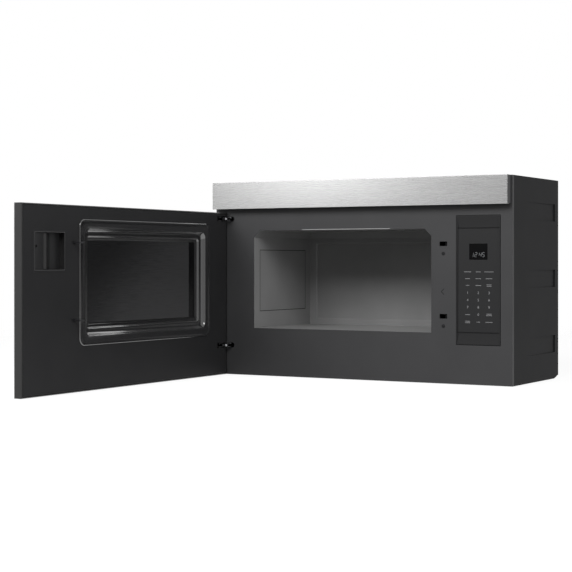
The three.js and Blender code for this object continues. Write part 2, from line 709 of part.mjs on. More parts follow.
function makeMagnetron() {
  const [x, y] = [antennaX, feedMiddleY];
  const [left, right] = [x - MAGNETRON_WIDTH / 2, x + MAGNETRON_WIDTH / 2];
  const [front, back] = [y - MAGNETRON_WIDTH / 2, y + MAGNETRON_WIDTH / 2];
  const top = magnetronBase + MAGNETRON_YOKE;
  const halfBox = FILTER_BOX_WIDTH / 2;
  const parts = [
    block(left, right, front, back, magnetronBase, magnetronBase + YOKE_PLATE),
    block(left, right, front, back, top - YOKE_PLATE, top),
    block(left, left + YOKE_PLATE, front, back, magnetronBase, top),
    block(right - YOKE_PLATE, right, front, back, magnetronBase, top),
    rod("z", [x, y, magnetronBase], MAGNETRON_YOKE, ANODE_RADIUS),
    rod("z", [x, y, magnetronBase + YOKE_PLATE / 2], MAGNET_HEIGHT, MAGNET_RADIUS, 20),
    rod("z", [x, y, top - YOKE_PLATE / 2 - MAGNET_HEIGHT], MAGNET_HEIGHT, MAGNET_RADIUS, 20),
    block(x - halfBox, x + halfBox, y - halfBox, y + halfBox, top - YOKE_PLATE / 2, top + FILTER_BOX_HEIGHT),
    rod("z", [x, y, magnetronBase - ANTENNA_LENGTH], ANTENNA_LENGTH + YOKE_PLATE, ANTENNA_RADIUS)];
  const firstFin = magnetronBase + MAGNET_HEIGHT;
  const finSpan = MAGNETRON_YOKE - 2 * MAGNET_HEIGHT;
  const finInset = 5;
  for (let i = 1; i <= COOLING_FINS; i += 1) {
    const z = firstFin + finSpan * i / (COOLING_FINS + 1);
    parts.push(block(
      left + YOKE_PLATE / 2, right - YOKE_PLATE / 2, front + finInset, back - finInset,
      z - COOLING_FIN / 2, z + COOLING_FIN / 2));
  }
  return join(...parts);
}

// ---------------------------------------------------------------- mode stirrer
const stirrerMotorFace = feedInner - SEAT;
const motorBore = 4;

function makeStirrerWheel() {
  const discAt = feedOuter - STIRRER_STAND_OFF;
  const shaftStart = stirrerMotorFace - motorBore + SEAT;
  const discRadius = STIRRER_RADIUS * 0.4;
  const vaneHeight = STIRRER_RADIUS * 0.7;
  const [hubRadius, hubLength] = [2 * STIRRER_SHAFT, 9];
  const at = (x) => [x, feedMiddleY, feedMiddleZ];
  const parts = [
    rod("x", at(discAt), STIRRER_SHEET, discRadius, 20),
    rod("x", at(shaftStart), discAt - shaftStart + STIRRER_SHEET, STIRRER_SHAFT, 12),
    rod("x", at(discAt + STIRRER_SHEET - hubLength), hubLength, hubRadius, 12)];
  for (let i = 0; i < STIRRER_VANES; i += 1) {
    const vane = new THREE.BoxGeometry(STIRRER_SHEET, discRadius, vaneHeight);
    vane.rotateZ(STIRRER_PITCH * DEGREE);
    vane.translate(STIRRER_SHEET / 2, 0, STIRRER_RADIUS - vaneHeight / 2);
    vane.rotateX(i * 2 * Math.PI / STIRRER_VANES);
    vane.translate(...at(discAt));
    parts.push(solid(vane));
  }
  return join(...parts);
}

function makeStirrerMotor() {
  const back = stirrerMotorFace - STIRRER_MOTOR_DEPTH;
  const [earReach, earHalf, terminalHalf, inset] = [8, 6, 8, 3];
  const halfSpan = STIRRER_MOTOR_RADIUS + earReach;
  const can = rod("x", [back, feedMiddleY, feedMiddleZ], STIRRER_MOTOR_DEPTH, STIRRER_MOTOR_RADIUS, 24);
  const ears = prism(roundedRect(
    feedMiddleY - halfSpan, feedMiddleY + halfSpan, feedMiddleZ - earHalf, feedMiddleZ + earHalf,
    earHalf - 1), "x", stirrerMotorFace - SHEET, stirrerMotorFace);
  const terminals = block(
    back + inset, stirrerMotorFace - inset, feedMiddleY - terminalHalf, feedMiddleY + terminalHalf,
    feedMiddleZ - halfSpan, feedMiddleZ);
  const bore = rod(
    "x", [stirrerMotorFace - motorBore, feedMiddleY, feedMiddleZ], motorBore + PAST,
    STIRRER_SHAFT + SEAT, 12);
  return cut(join(can, ears, terminals), bore);
}

// ---------------------------------------------------------------- cooling fan
const fanX = antennaX;
const fanY = CABINET_DEPTH - FAN_FROM_WALL;
const fanZ = magnetronBase + FAN_OVER_MAGNETRON;
const shroudSheet = 1.6;
const shroudDepth = FAN_DEPTH + 6;
const fanMotorFace = fanY + shroudDepth + SEAT;

function makeFanShroud() {
  const bore = FAN_RADIUS + RUNNING_GAP;
  const [ringWall, rim, legWidth] = [2, 8, 6];
  const half = FAN_RADIUS + rim;
  const plate = block(fanX - half, fanX + half, fanY, fanY + shroudSheet, cavityRoof, fanZ + half);
  const ring = rod("y", [fanX, fanY, fanZ], shroudDepth, bore + ringWall, 32);
  const hole = rod("y", [fanX, fanY - PAST, fanZ], shroudDepth + 2 * PAST, bore, 32);
  const legs = [-1, 1].map((side) => {
    const x = fanX + side * (FAN_MOTOR_SIZE - legWidth) / 2;
    return block(
      x - legWidth / 2, x + legWidth / 2, fanY + shroudDepth - 2, fanY + shroudDepth,
      fanZ - bore - ringWall / 2, fanZ + bore + ringWall / 2);
  });
  return join(cut(join(plate, ring), hole), ...legs);
}

function makeFanWheel() {
  const start = fanY + SEAT;
  const hub = rod("y", [fanX, start, fanZ], FAN_DEPTH, FAN_HUB, 16);
  const shaft = rod("y", [fanX, start, fanZ], fanMotorFace + motorBore - SEAT - start, FAN_SHAFT, 12);
  const root = 3;
  const span = FAN_RADIUS - FAN_HUB + root;
  const blades = [];
  for (let i = 0; i < FAN_BLADES; i += 1) {
    const blade = new THREE.BoxGeometry(1.6 * FAN_HUB, 1.4, span);
    blade.translate(0, 0, FAN_HUB - root + span / 2);
    blade.rotateZ(FAN_PITCH * DEGREE);
    blade.rotateY(i * 2 * Math.PI / FAN_BLADES);
    blade.translate(fanX, start + FAN_DEPTH / 2, fanZ);
    blades.push(solid(blade));
  }
  const sweep = rod("y", [fanX, start, fanZ], FAN_DEPTH, FAN_RADIUS, 32);
  return join(join(...blades).intersect(sweep), hub, shaft);
}

function makeFanMotor() {
  const half = FAN_MOTOR_SIZE / 2;
  const back = fanMotorFace + FAN_MOTOR_STACK;
  const stack = block(fanX - half, fanX + half, fanMotorFace, back, fanZ - half, fanZ + half);
  const [coilHalf, coilOver] = [0.6 * half, 8];
  const coil = block(
    fanX - coilHalf, fanX + coilHalf, fanMotorFace + coilOver / 2, back + coilOver,
    fanZ - half - coilOver, fanZ - half / 2);
  const cap = rod("y", [fanX, back - 1, fanZ + half / 4], 6, half / 2);
  const bore = rod("y", [fanX, fanMotorFace - PAST, fanZ], motorBore + PAST, FAN_SHAFT + SEAT, 12);
  return cut(join(stack, coil, cap), bore);
}

// ---------------------------------------------------------------- vent blower
const blowerY = CABINET_DEPTH - BLOWER_FROM_WALL;
const blowerZ = cavityTop + BLOWER_OVER_CAVITY;

// The scroll seen along X, growing steadily round the wheel.
function scrollOutline(inset) {
  const steps = 22;
  const points = [];
  for (let i = 0; i <= steps; i += 1) {
    const angle = (SCROLL_FROM + (SCROLL_TO - SCROLL_FROM) * i / steps) * DEGREE;
    const radius = SCROLL_START + (SCROLL_END - SCROLL_START) * i / steps - inset;
    points.push([blowerY + radius * Math.cos(angle), blowerZ + radius * Math.sin(angle)]);
  }
  return outline(...points);
}

function makeBlowerHousing(side) {
  const centre = middleX + side * BLOWER_SPREAD;
  const half = BLOWER_WHEEL_WIDTH / 2 + SCROLL_SIDE_GAP + SHEET;
  const [left, right] = [centre - half, centre + half];
  const top = blowerZ + SCROLL_END;
  const floor = top - DUCT_HEIGHT;
  const outer = join(
    prism(scrollOutline(0), "x", left, right), block(left, right, DUCT_FRONT, blowerY, floor, top));
  const inner = join(
    prism(scrollOutline(SHEET), "x", left + SHEET, right - SHEET),
    block(left + SHEET, right - SHEET, DUCT_FRONT - PAST, blowerY, floor + SHEET, top - SHEET));
  const inlet = rod("x", [left - PAST, blowerY, blowerZ], 2 * (half + PAST), BLOWER_INLET, 24);
  const webBack = blowerY + SCROLL_START;
  const [footLength, webOverlap] = [16, 20];
  const web = block(left, right, webBack - SHEET, webBack, cavityRoof, blowerZ - webOverlap);
  const foot = block(left, right, webBack - SHEET, webBack + footLength, cavityRoof, cavityRoof + SHEET);
  return join(cut(join(outer, web), inner, inlet), foot);
}

function makeBlowerWheel(side) {
  const centre = middleX + side * BLOWER_SPREAD;
  const half = BLOWER_WHEEL_WIDTH / 2;
  const ringWidth = BLOWER_BLADE_DEPTH + 1.5;
  const [ringSheet, hubLength, hubWall] = [2, 20, 5];
  const at = (x) => [x, blowerY, blowerZ];
  const ring = (x) => cut(
    rod("x", at(x), ringSheet, BLOWER_WHEEL_RADIUS, 24),
    rod("x", at(x - PAST), ringSheet + 2 * PAST, BLOWER_WHEEL_RADIUS - ringWidth, 24));
  const parts = [
    ring(centre - half), ring(centre + half - ringSheet),
    rod("x", at(centre - ringSheet / 2), ringSheet, BLOWER_WHEEL_RADIUS - BLOWER_BLADE_DEPTH / 2, 24),
    rod("x", at(centre - hubLength / 2), hubLength, BLOWER_SHAFT + hubWall, 12)];
  for (let i = 0; i < BLOWER_BLADES; i += 1) {
    const blade = new THREE.BoxGeometry(2 * half - ringSheet, 1, BLOWER_BLADE_DEPTH);
    blade.rotateX(BLOWER_BLADE_PITCH * DEGREE);
    blade.translate(0, 0, BLOWER_WHEEL_RADIUS - BLOWER_BLADE_DEPTH / 2 - 0.8);
    blade.rotateX(i * 2 * Math.PI / BLOWER_BLADES);
    blade.translate(centre, blowerY, blowerZ);
    parts.push(solid(blade));
  }
  const bore = rod("x", at(centre - half - PAST), 2 * (half + PAST), BLOWER_SHAFT + SEAT);
  return cut(join(...parts), bore);
}

function makeBlowerShaft() {
  const reach = BLOWER_SPREAD + BLOWER_WHEEL_WIDTH / 4;
  return rod("x", [middleX - reach, blowerY, blowerZ], 2 * reach, BLOWER_SHAFT);
}

function makeBlowerMotor() {
  const half = BLOWER_MOTOR_LENGTH / 2;
  const [noseLength, noseWall, footInset, plate] = [4, 6, 6, 2];
  const [footLeft, footRight] = [middleX - half + footInset, middleX + half - footInset];
  const can = rod("x", [middleX - half, blowerY, blowerZ], 2 * half, BLOWER_MOTOR_RADIUS, 28);
  const nose = rod(
    "x", [middleX - half - noseLength, blowerY, blowerZ], 2 * (half + noseLength), BLOWER_SHAFT + noseWall);
  const saddle = block(
    footLeft, footRight, blowerY - BLOWER_MOTOR_RADIUS, blowerY + BLOWER_MOTOR_RADIUS,
    cavityRoof, cavityRoof + plate);
  const posts = [-1, 1].map((side) => {
    const y = blowerY + side * 0.8 * BLOWER_MOTOR_RADIUS;
    return block(footLeft, footRight, y - plate, y + plate, cavityRoof, blowerZ - BLOWER_MOTOR_RADIUS / 3);
  });
  const bore = rod(
    "x", [middleX - half - noseLength - PAST, blowerY, blowerZ], 2 * (half + noseLength + PAST),
    BLOWER_SHAFT + SEAT);
  return cut(join(can, nose, saddle, ...posts), bore);
}

function makeCharcoalFilter() {
  const rim = 5;
  const half = VENT_SLOTS * VENT_SLOT_PITCH / 2 + rim;
  const [front, back] = [behindFrame, behindFrame + CHARCOAL_DEPTH];
  const low = trimBottom + (TRIM_HEIGHT - CHARCOAL_HEIGHT) / 2;
  const high = low + CHARCOAL_HEIGHT;
  const frame = block(middleX - half, middleX + half, front, back, low, high);
  const fieldDepth = 4;
  const fields = [front - PAST, back - fieldDepth].map((y) => block(
    middleX - half + rim, middleX + half - rim, y, y + fieldDepth + PAST, low + rim, high - rim));
  const footHalf = 8;
  const feet = [-1, 1].map((side) => {
    const x = middleX + side * (half - 1.5 * footHalf);
    return block(x - footHalf, x + footHalf, front, back, cavityTop + WELD_FLANGE + SEAT, low + 1);
  });
  return join(cut(frame, ...fields), ...feet);
}

// ---------------------------------------------------------------- base
const filterLength = middleX - FILTER_FROM_MIDDLE - FILTER_FROM_SIDE;
const onPan = SHEET + SEAT; // what stands on the base pan starts here
const panBack = CABINET_DEPTH - REAR_CORNER_LENGTH;
const filterBack = panBack - FILTER_FROM_REAR;

function filterLeftEdge(side) {
  return side < 0 ? FILTER_FROM_SIDE : middleX + FILTER_FROM_MIDDLE;
}

function lampLeftEdge(side) {
  return middleX + side * LAMP_FROM_MIDDLE - LAMP_LENGTH / 2;
}

function makeBasePan() {
  const inner = SHEET + SEAT;
  const right = CABINET_WIDTH - inner;
  const front = FRAME_RETURN + SEAT;
  const parts = [cut(
    block(inner, right, front, panBack, 0, PAN_EDGE),
    block(inner + SHEET, right - SHEET, front - PAST, panBack + PAST, SHEET, PAN_EDGE + PAST))];
  const tools = [];
  const through = (x0, x1, y0, y1) => tools.push(block(x0, x1, y0, y1, -PAST, SHEET + PAST));
  const lipTop = onPan + FILTER_THICKNESS + SEAT + SHEET;
  const railOver = 2;
  for (const side of [-1, 1]) {
    const x = filterLeftEdge(side);
    const [start, end] = [x - railOver, x + filterLength + FILTER_TRAVEL + railOver];
    const [frontRail, backRail] = [FILTER_FRONT - SEAT, filterBack + SEAT];
    parts.push(
      block(start, end, frontRail - SHEET, frontRail, 0, lipTop),
      block(start, end, backRail, backRail + SHEET, 0, lipTop),
      block(start, end, frontRail - SHEET, frontRail + RAIL_LIP, lipTop - SHEET, lipTop),
      block(start, end, backRail - RAIL_LIP, backRail + SHEET, lipTop - SHEET, lipTop));
    through(
      x + FILTER_LEFT_LAP, x + filterLength - FILTER_RIGHT_LAP,
      FILTER_FRONT + FILTER_RIM, filterBack - FILTER_RIM);
    const lamp = lampLeftEdge(side);
    through(lamp, lamp + LAMP_LENGTH, LAMP_FRONT, LAMP_FRONT + LAMP_WIDTH);
  }
  for (let i = 0; i < INTAKE_SLOTS; i += 1) {
    const slotRight = right - INTAKE_FROM_SIDE - i * INTAKE_PITCH;
    through(slotRight - INTAKE_SLOT, slotRight, LAMP_FRONT, LAMP_FRONT + INTAKE_LENGTH);
  }
  return cut(join(...parts), ...tools);
}

function makeGreaseFilter(side) {
  const x = filterLeftEdge(side);
  const [low, high] = [onPan, onPan + FILTER_THICKNESS];
  const [x0, x1] = [x + FILTER_RIM, x + filterLength - FILTER_RIM];
  const [y0, y1] = [FILTER_FRONT + FILTER_RIM, filterBack - FILTER_RIM];
  const [fieldDepth, ribHalf] = [1.5, 1.5];
  const frame = block(x, x + filterLength, FILTER_FRONT, filterBack, low, high);
  const fields = [low - PAST, high - fieldDepth].map((z) => (
    block(x0, x1, y0, y1, z, z + fieldDepth + PAST)));
  const ribs = [1, 2].map((third) => {
    const rib = x + filterLength * third / 3;
    return block(rib - ribHalf, rib + ribHalf, y0 - 1, y1 + 1, low + SEAT, high - SEAT);
  });
  const pull = rod(
    "z", [x + FILTER_RIM / 2, (FILTER_FRONT + filterBack) / 2, low - PAST], FILTER_THICKNESS + 2 * PAST,
    FILTER_RIM / 3, 12);
  return cut(join(cut(frame, ...fields), ...ribs), pull);
}

function makeLampLens(side) {
  const x = lampLeftEdge(side);
  const [front, back] = [LAMP_FRONT, LAMP_FRONT + LAMP_WIDTH];
  const top = onPan + LENS_THICKNESS;
  const plug = block(x + SEAT, x + LAMP_LENGTH - SEAT, front + SEAT, back - SEAT, 0, top);
  const flange = block(
    x - LENS_LAP, x + LAMP_LENGTH + LENS_LAP, front - LENS_LAP, back + LENS_LAP, onPan, top);
  const flutes = [];
  const fluteRadius = 0.8;
  for (let i = 1; i <= LENS_FLUTES; i += 1) {
    const fluteX = x + LAMP_LENGTH * i / (LENS_FLUTES + 1);
    flutes.push(rod("y", [fluteX, front, top], LAMP_WIDTH, fluteRadius, 6));
  }
  return cut(join(plug, flange), ...flutes);
}

function makeLampHousing(side) {
  const x = lampLeftEdge(side);
  const lap = LENS_LAP + SEAT;
  const [wall, carrierInset, carrierDepth, diodeRadius, diodeLength] = [1.5, 9, 5, 3, 3];
  const [x0, x1] = [x - lap, x + LAMP_LENGTH + lap];
  const [y0, y1] = [LAMP_FRONT - lap, LAMP_FRONT + LAMP_WIDTH + lap];
  const roof = onPan + LAMP_HEIGHT - wall;
  const shell = cut(
    block(x0 - wall, x1 + wall, y0 - wall, y1 + wall, onPan, roof + wall),
    block(x0, x1, y0, y1, onPan - PAST, roof));
  const carrier = block(
    x + carrierInset, x + LAMP_LENGTH - carrierInset, LAMP_FRONT + carrierInset,
    LAMP_FRONT + LAMP_WIDTH - carrierInset, roof - carrierDepth, roof + wall / 2);
  const diodes = [1, 2, 3].map((quarter) => rod(
    "z", [x + LAMP_LENGTH * quarter / 4, LAMP_FRONT + LAMP_WIDTH / 2, roof - carrierDepth - diodeLength],
    diodeLength + 1, diodeRadius, 10));
  return join(shell, carrier, ...diodes);
}

// ---------------------------------------------------------------- high voltage parts
const underPads = SHEET + PAD_DEPTH + SHEET; // clear of the side sheet's pads
const highVoltageRight = CABINET_WIDTH - underPads - PAN_EDGE / 2;

function makeTransformer() {
  const left = highVoltageRight - TRANSFORMER_WIDTH;
  const back = panBack - PAN_EDGE - TRANSFORMER_COIL_OVERHANG;
  const front = back - TRANSFORMER_STACK;
  const basePlate = 1.5;
  const leg = TRANSFORMER_WIDTH / 8;
  const core = block(left, highVoltageRight, front, back, onPan, onPan + TRANSFORMER_HEIGHT);
  const feet = block(
    left, highVoltageRight, front - PAN_EDGE, back + PAN_EDGE, onPan, onPan + basePlate);
  const coils = [[0.18, 0.48], [0.56, 0.82]].map(([low, high]) => block(
    left + leg, highVoltageRight - leg, front - TRANSFORMER_COIL_OVERHANG, back + TRANSFORMER_COIL_OVERHANG,
    onPan + low * TRANSFORMER_HEIGHT, onPan + high * TRANSFORMER_HEIGHT));
  return join(core, feet, ...coils);
}

function makeCapacitor() {
  const [halfLength, halfWidth] = [CAPACITOR_LENGTH / 2, CAPACITOR_WIDTH / 2];
  const x = highVoltageRight - halfLength;
  const top = onPan + CAPACITOR_HEIGHT;
  const can = (grow) => roundedRect(
    x - halfLength - grow, x + halfLength + grow, CAPACITOR_Y - halfWidth - grow,
    CAPACITOR_Y + halfWidth + grow, halfWidth + grow - 1);
  const [rimHeight, postRadius, postHeight, tabHalf, tabSheet, tabHeight] = [3, 3.5, 12, 3, 0.8, 18];
  const parts = [prism(can(0), "z", onPan, top), prism(can(1), "z", top - rimHeight, top)];
  for (const side of [-1, 1]) {
    const postX = x + side * halfLength / 2;
    parts.push(
      rod("z", [postX, CAPACITOR_Y, top - 1], postHeight, postRadius, 12),
      block(
        postX - tabHalf, postX + tabHalf, CAPACITOR_Y - tabSheet / 2, CAPACITOR_Y + tabSheet / 2,
        top, top + tabHeight));
  }
  return join(...parts);
}

// ---------------------------------------------------------------- back and wall
const panelBack = CABINET_DEPTH - BACK_GAP;
const plateFront = CABINET_DEPTH - PLATE_SHEET;

function makeBackPanel() {
  const inner = SHEET + REAR_JOG + SEAT;
  const start = panBack + SEAT;
  const slope = REAR_CORNER_RISE / REAR_CORNER_LENGTH;
  const bend = (panelBack - panBack) * slope;
  const panelFront = panelBack - SHEET;
  const side = outline(
    [start, SEAT * slope], [panelBack, bend], [panelBack, underTop], [panelFront, underTop],
    [panelFront, bend + SHEET], [start, SHEET + SEAT * slope]);
  const sheet = prism(side, "x", inner, CABINET_WIDTH - inner);
  const [ribDepth, ribHalf, ribBottom, ribTop, ribPitch] = [2, 60, 120, 380, 220];
  const overlap = 0.01;
  const ribs = [];
  const tools = [];
  for (const place of [-1, 0, 1]) {
    const x = middleX + place * ribPitch;
    const high = Math.min(ribTop, underTop - ribPitch / 8);
    ribs.push(taperedBlock(
      x - ribHalf, x + ribHalf, panelFront, panelBack + ribDepth, ribBottom, high, ribDepth));
    tools.push(taperedBlock(
      x - ribHalf + SHEET, x + ribHalf - SHEET, panelFront - overlap, panelFront + ribDepth,
      ribBottom + SHEET, high - SHEET, ribDepth));
  }
  const [sideRoom, liftRoom] = [2, 6];
  for (const sign of [-1, 1]) {
    const x = middleX + sign * HOOK_SPREAD / 2;
    const half = HOOK_WIDTH / 2 + sideRoom;
    tools.push(block(
      x - half, x + half, panelFront - PAST, panelBack + PAST,
      HOOK_BOTTOM - sideRoom, HOOK_BOTTOM + HOOK_HEIGHT + liftRoom));
  }
  return cut(join(sheet, ...ribs), ...tools);
}

function makeWallPlate() {
  const inner = SHEET + REAR_JOG + PLATE_MARGIN;
  const top = CABINET_HEIGHT - PLATE_FROM_TOP;
  const plate = block(
    inner, CABINET_WIDTH - inner, plateFront, CABINET_DEPTH, PLATE_BOTTOM, top);
  const tools = [];
  const parts = [];
  const windowMiddle = (PLATE_BOTTOM + top) / 2 + SPACER_HEIGHT;
  const [boltPitch, boltRadius, windowRadius] = [150, 3.5, 14];
  const weld = PLATE_SHEET / 2;
  const spacerTop = top - SPACER_HEIGHT / 2;
  for (const sign of [-1, 1]) {
    const windowX = middleX + sign * PLATE_WINDOW_SPREAD / 2;
    tools.push(prism(roundedRect(
      windowX - PLATE_WINDOW_WIDTH / 2, windowX + PLATE_WINDOW_WIDTH / 2,
      windowMiddle - PLATE_WINDOW_HEIGHT / 2, windowMiddle + PLATE_WINDOW_HEIGHT / 2, windowRadius),
    "y", plateFront - PAST, CABINET_DEPTH + PAST));
    for (const step of [-1, 0, 1]) {
      tools.push(rod(
        "y", [windowX + step * boltPitch / 2, plateFront - PAST, PLATE_BOTTOM + SPACER_HEIGHT],
        PLATE_SHEET + 2 * PAST, boltRadius, 10));
    }
    const x = middleX + sign * HOOK_SPREAD / 2;
    const [x0, x1] = [x - HOOK_WIDTH / 2, x + HOOK_WIDTH / 2];
    const hookBack = panelBack - SHEET - SEAT;
    parts.push(
      block(x0, x1, hookBack - HOOK_SHEET, plateFront + weld, HOOK_BOTTOM, HOOK_BOTTOM + HOOK_SHEET),
      block(x0, x1, hookBack - HOOK_SHEET, hookBack, HOOK_BOTTOM, HOOK_BOTTOM + HOOK_HEIGHT),
      taperedBlock(
        x - SPACER_WIDTH / 2, x + SPACER_WIDTH / 2, plateFront + weld, panelBack + SEAT,
        spacerTop - SPACER_HEIGHT, spacerTop, SPACER_HEIGHT / 5));
  }
  return join(cut(plate, ...tools), ...parts);
}

// ---------------------------------------------------------------- top trim
function makeTopTrim() {
  const [left, right, face] = [TRIM_INSET, CABINET_WIDTH - TRIM_INSET, -TRIM_DEPTH];
  const sheet = outline(
    [-SEAT, CABINET_HEIGHT], [face, CABINET_HEIGHT], [face, trimBottom], [face + TRIM_LIP, trimBottom],
    [face + TRIM_LIP, trimBottom + SHEET], [face + SHEET, trimBottom + SHEET],
    [face + SHEET, CABINET_HEIGHT - SHEET], [-SEAT, CABINET_HEIGHT - SHEET]);
  return prism(sheet, "x", left, right);
}

// A moulded end cap that closes one end of the folded trim.
function makeTrimCap(side) {
  const outer = side < 0 ? TRIM_INSET : CABINET_WIDTH - TRIM_INSET - CAP_THICKNESS;
  const inset = SHEET + SEAT;
  const [front, back] = [-TRIM_DEPTH + inset, -SEAT];
  const [low, high] = [trimBottom + inset, CABINET_HEIGHT - inset];
  const [tabLength, tabHalf, tabSheet] = [10, 4, 2];
  const wall = block(outer, outer + CAP_THICKNESS, front, back, low, high);
  const tabStart = side < 0 ? outer : outer + CAP_THICKNESS - tabLength;
  const tabs = [0.25, 0.75].map((share) => {
    const z = low + (high - low) * share;
    return block(tabStart, tabStart + tabLength, front, front + tabSheet, z - tabHalf, z + tabHalf);
  });
  return join(wall, ...tabs);
}

// ---------------------------------------------------------------- control panel
const recessLow = panelBottom + PANEL_RAMP;
const recessHigh = panelTop - PANEL_RAMP;
const recessY = -PANEL_PROUD + PANEL_RECESS; // floor of the recessed field
const overlayFront = recessY - SEAT - OVERLAY;
const displayLeft = (panelLeft + panelRight - DISPLAY_WIDTH) / 2;
const displayRight = displayLeft + DISPLAY_WIDTH;
const displayTop = recessHigh - DISPLAY_FROM_RECESS;
const displayBottom = displayTop - DISPLAY_HEIGHT;
const bezelBack = behindFrame + PANEL_FLANGE;
const boardFace = bezelBack + BOARD_STAND_OFF;

function displayCut() {
  return block(
    displayLeft - SEAT, displayRight + SEAT, -TRIM_DEPTH, boardFace,
    displayBottom - SEAT, displayTop + SEAT);
}

function makeControlBezel() {
  const flange = block(
    panelLeft - PANEL_LAP, panelRight + PANEL_LAP, behindFrame, bezelBack,
    panelBottom - PANEL_LAP, panelTop + PANEL_LAP);
  const faceRadius = 2.7;
  const face = prism(
    roundedRect(panelLeft, panelRight, panelBottom, panelTop, faceRadius), "y", -PANEL_PROUD, bezelBack);
  const [left, right] = [panelLeft + PANEL_MARGIN, panelRight - PANEL_MARGIN];
  const [low, high] = [panelBottom + PANEL_MARGIN, panelTop - PANEL_MARGIN];
  const recess = prism(outline(
    [-PANEL_PROUD - PAST, low], [-PANEL_PROUD, low], [recessY, recessLow], [recessY, recessHigh],
    [-PANEL_PROUD, high], [-PANEL_PROUD - PAST, high]), "x", left, right);
  const [bossInset, bossDrop, bossRadius, ribHeight] = [12, 20, 4, 4];
  const weld = PANEL_FLANGE / 2;
  const stiffeners = [];
  for (const x of [panelLeft + bossInset, panelRight - bossInset]) {
    for (const z of [panelBottom + bossDrop, panelTop - bossDrop]) {
      stiffeners.push(rod(
        "y", [x, bezelBack - weld, z], boardFace - SEAT - bezelBack + weld, bossRadius, 12));
    }
  }
  for (const x of [left, right - PANEL_FLANGE]) {
    stiffeners.push(block(
      x, x + PANEL_FLANGE, bezelBack - weld, bezelBack + ribHeight, recessLow, recessHigh));
  }
  return cut(join(flange, face, ...stiffeners), recess, displayCut());
}

function makeKeypadOverlay() {
  const [left, right] = [panelLeft + PANEL_MARGIN + SEAT, panelRight - PANEL_MARGIN - SEAT];
  const sheet = block(
    left, right, overlayFront, overlayFront + OVERLAY, recessLow + SEAT, recessHigh - SEAT);
  return cut(sheet, displayCut());
}

function makeDisplayWindow() {
  const [lap, flangeSheet] = [2.5, 1.2];
  const start = bezelBack + SEAT;
  const pane = block(displayLeft, displayRight, overlayFront, start + flangeSheet, displayBottom, displayTop);
  const flange = block(
    displayLeft - lap, displayRight + lap, start, start + flangeSheet,
    displayBottom - lap, displayTop + lap);
  return join(pane, flange);
}

function makeControlBoard() {
  const [left, right] = [panelLeft + BOARD_MARGIN, panelRight - BOARD_MARGIN];
  const [low, high] = [panelBottom + 2 * BOARD_MARGIN, panelTop - 2 * BOARD_MARGIN];
  const back = boardFace + BOARD_THICKNESS - SOLDER_SINK;
  const inset = left + BOARD_MARGIN;
  const coilTop = low + BOARD_MARGIN + BOARD_COIL_SIZE;
  const parts = [
    block(left, right, boardFace, boardFace + BOARD_THICKNESS, low, high),
    block(inset, inset + BOARD_COIL_SIZE, back, back + BOARD_COIL_HEIGHT, low + BOARD_MARGIN, coilTop),
    block(
      displayLeft + BOARD_MARGIN, displayRight - BOARD_MARGIN, boardFace - BOARD_MARGIN,
      boardFace + BOARD_THICKNESS / 2, displayBottom + BOARD_MARGIN, displayTop - BOARD_MARGIN),
    block(
      inset, left + BOARD_COIL_SIZE, back, back + BOARD_PLUG_HEIGHT, high - 2 * RELAY_PITCH,
      high - RELAY_PITCH)];
  const firstRelay = coilTop + BOARD_MARGIN;
  const relayRight = right - BOARD_MARGIN;
  for (let i = 0; i < RELAYS; i += 1) {
    const z = firstRelay + i * RELAY_PITCH;
    parts.push(block(relayRight - RELAY_SIZE, relayRight, back, back + RELAY_HEIGHT, z, z + RELAY_SIZE));
  }
  for (let i = 0; i < CAN_CAPACITORS; i += 1) {
    const z = firstRelay + (i + 0.5) * RELAY_PITCH;
    parts.push(rod("y", [left + BOARD_COIL_SIZE / 2, back, z], CAN_HEIGHT, CAN_RADIUS, 12));
  }
  return join(...parts);
}

// ---------------------------------------------------------------- latch board and switches
const latchSpine = latchSlotX + LATCH_SLOT_WIDTH / 2 + 1;
const hookRight = latchX + HOOK_BODY / 2;
const hookTip = doorInner + HOOK_REACH;
const barbAt = hookTip - 9; // depth of the edge that catches behind the keeper

// A channel behind each front slot, with the keeper that the hook's barb snaps behind.
function makeLatchBoard() {
  const near = behindFrame;
  const slotLeft = latchSlotX - LATCH_SLOT_WIDTH / 2 - 1;
  const [plateSheet, plateOver, channelRoom] = [2, 12, 1];
  const plate = block(
    slotLeft - GUIDE_WALL, latchSpine + SWITCH_THICKNESS, near, near + plateSheet,
    latchLow - SCREW_DROP - plateOver, latchHigh + plateOver);
  const spine = block(
    latchSpine, latchSpine + GUIDE_WALL, near, near + GUIDE_DEPTH + SEAT,
    latchLow - plateOver, latchHigh + plateOver);
  const parts = [plate, spine];
  const channels = [];
  const keepers = [];
  const keeperX = hookRight + 0.8;
  const keeperBack = barbAt - 0.5;
  for (const z of latchHeights) {
    const half = LATCH_SLOT_HEIGHT / 2 + channelRoom;
    parts.push(block(
      slotLeft - GUIDE_WALL, latchSpine + GUIDE_WALL, near, near + GUIDE_DEPTH,
      z - half - GUIDE_WALL, z + half + GUIDE_WALL));
    channels.push(block(slotLeft, latchSpine, near - PAST, near + GUIDE_DEPTH + PAST, z - half, z + half));
    channels.push(rod(
      "y", [latchSlotX, near - PAST, z - SCREW_DROP], plateSheet + 2 * PAST, SCREW_SHANK + SEAT, 10));
    keepers.push(prism(outline(
      [latchSpine + GUIDE_WALL / 2, near + 1], [keeperX + 2, near + 4], [keeperX, near + 7],
      [keeperX, keeperBack], [latchSpine + GUIDE_WALL / 2, keeperBack]),
    "z", z - half - GUIDE_WALL / 2, z + half + GUIDE_WALL / 2));
  }
  return join(cut(join(...parts), ...channels), ...keepers);
}

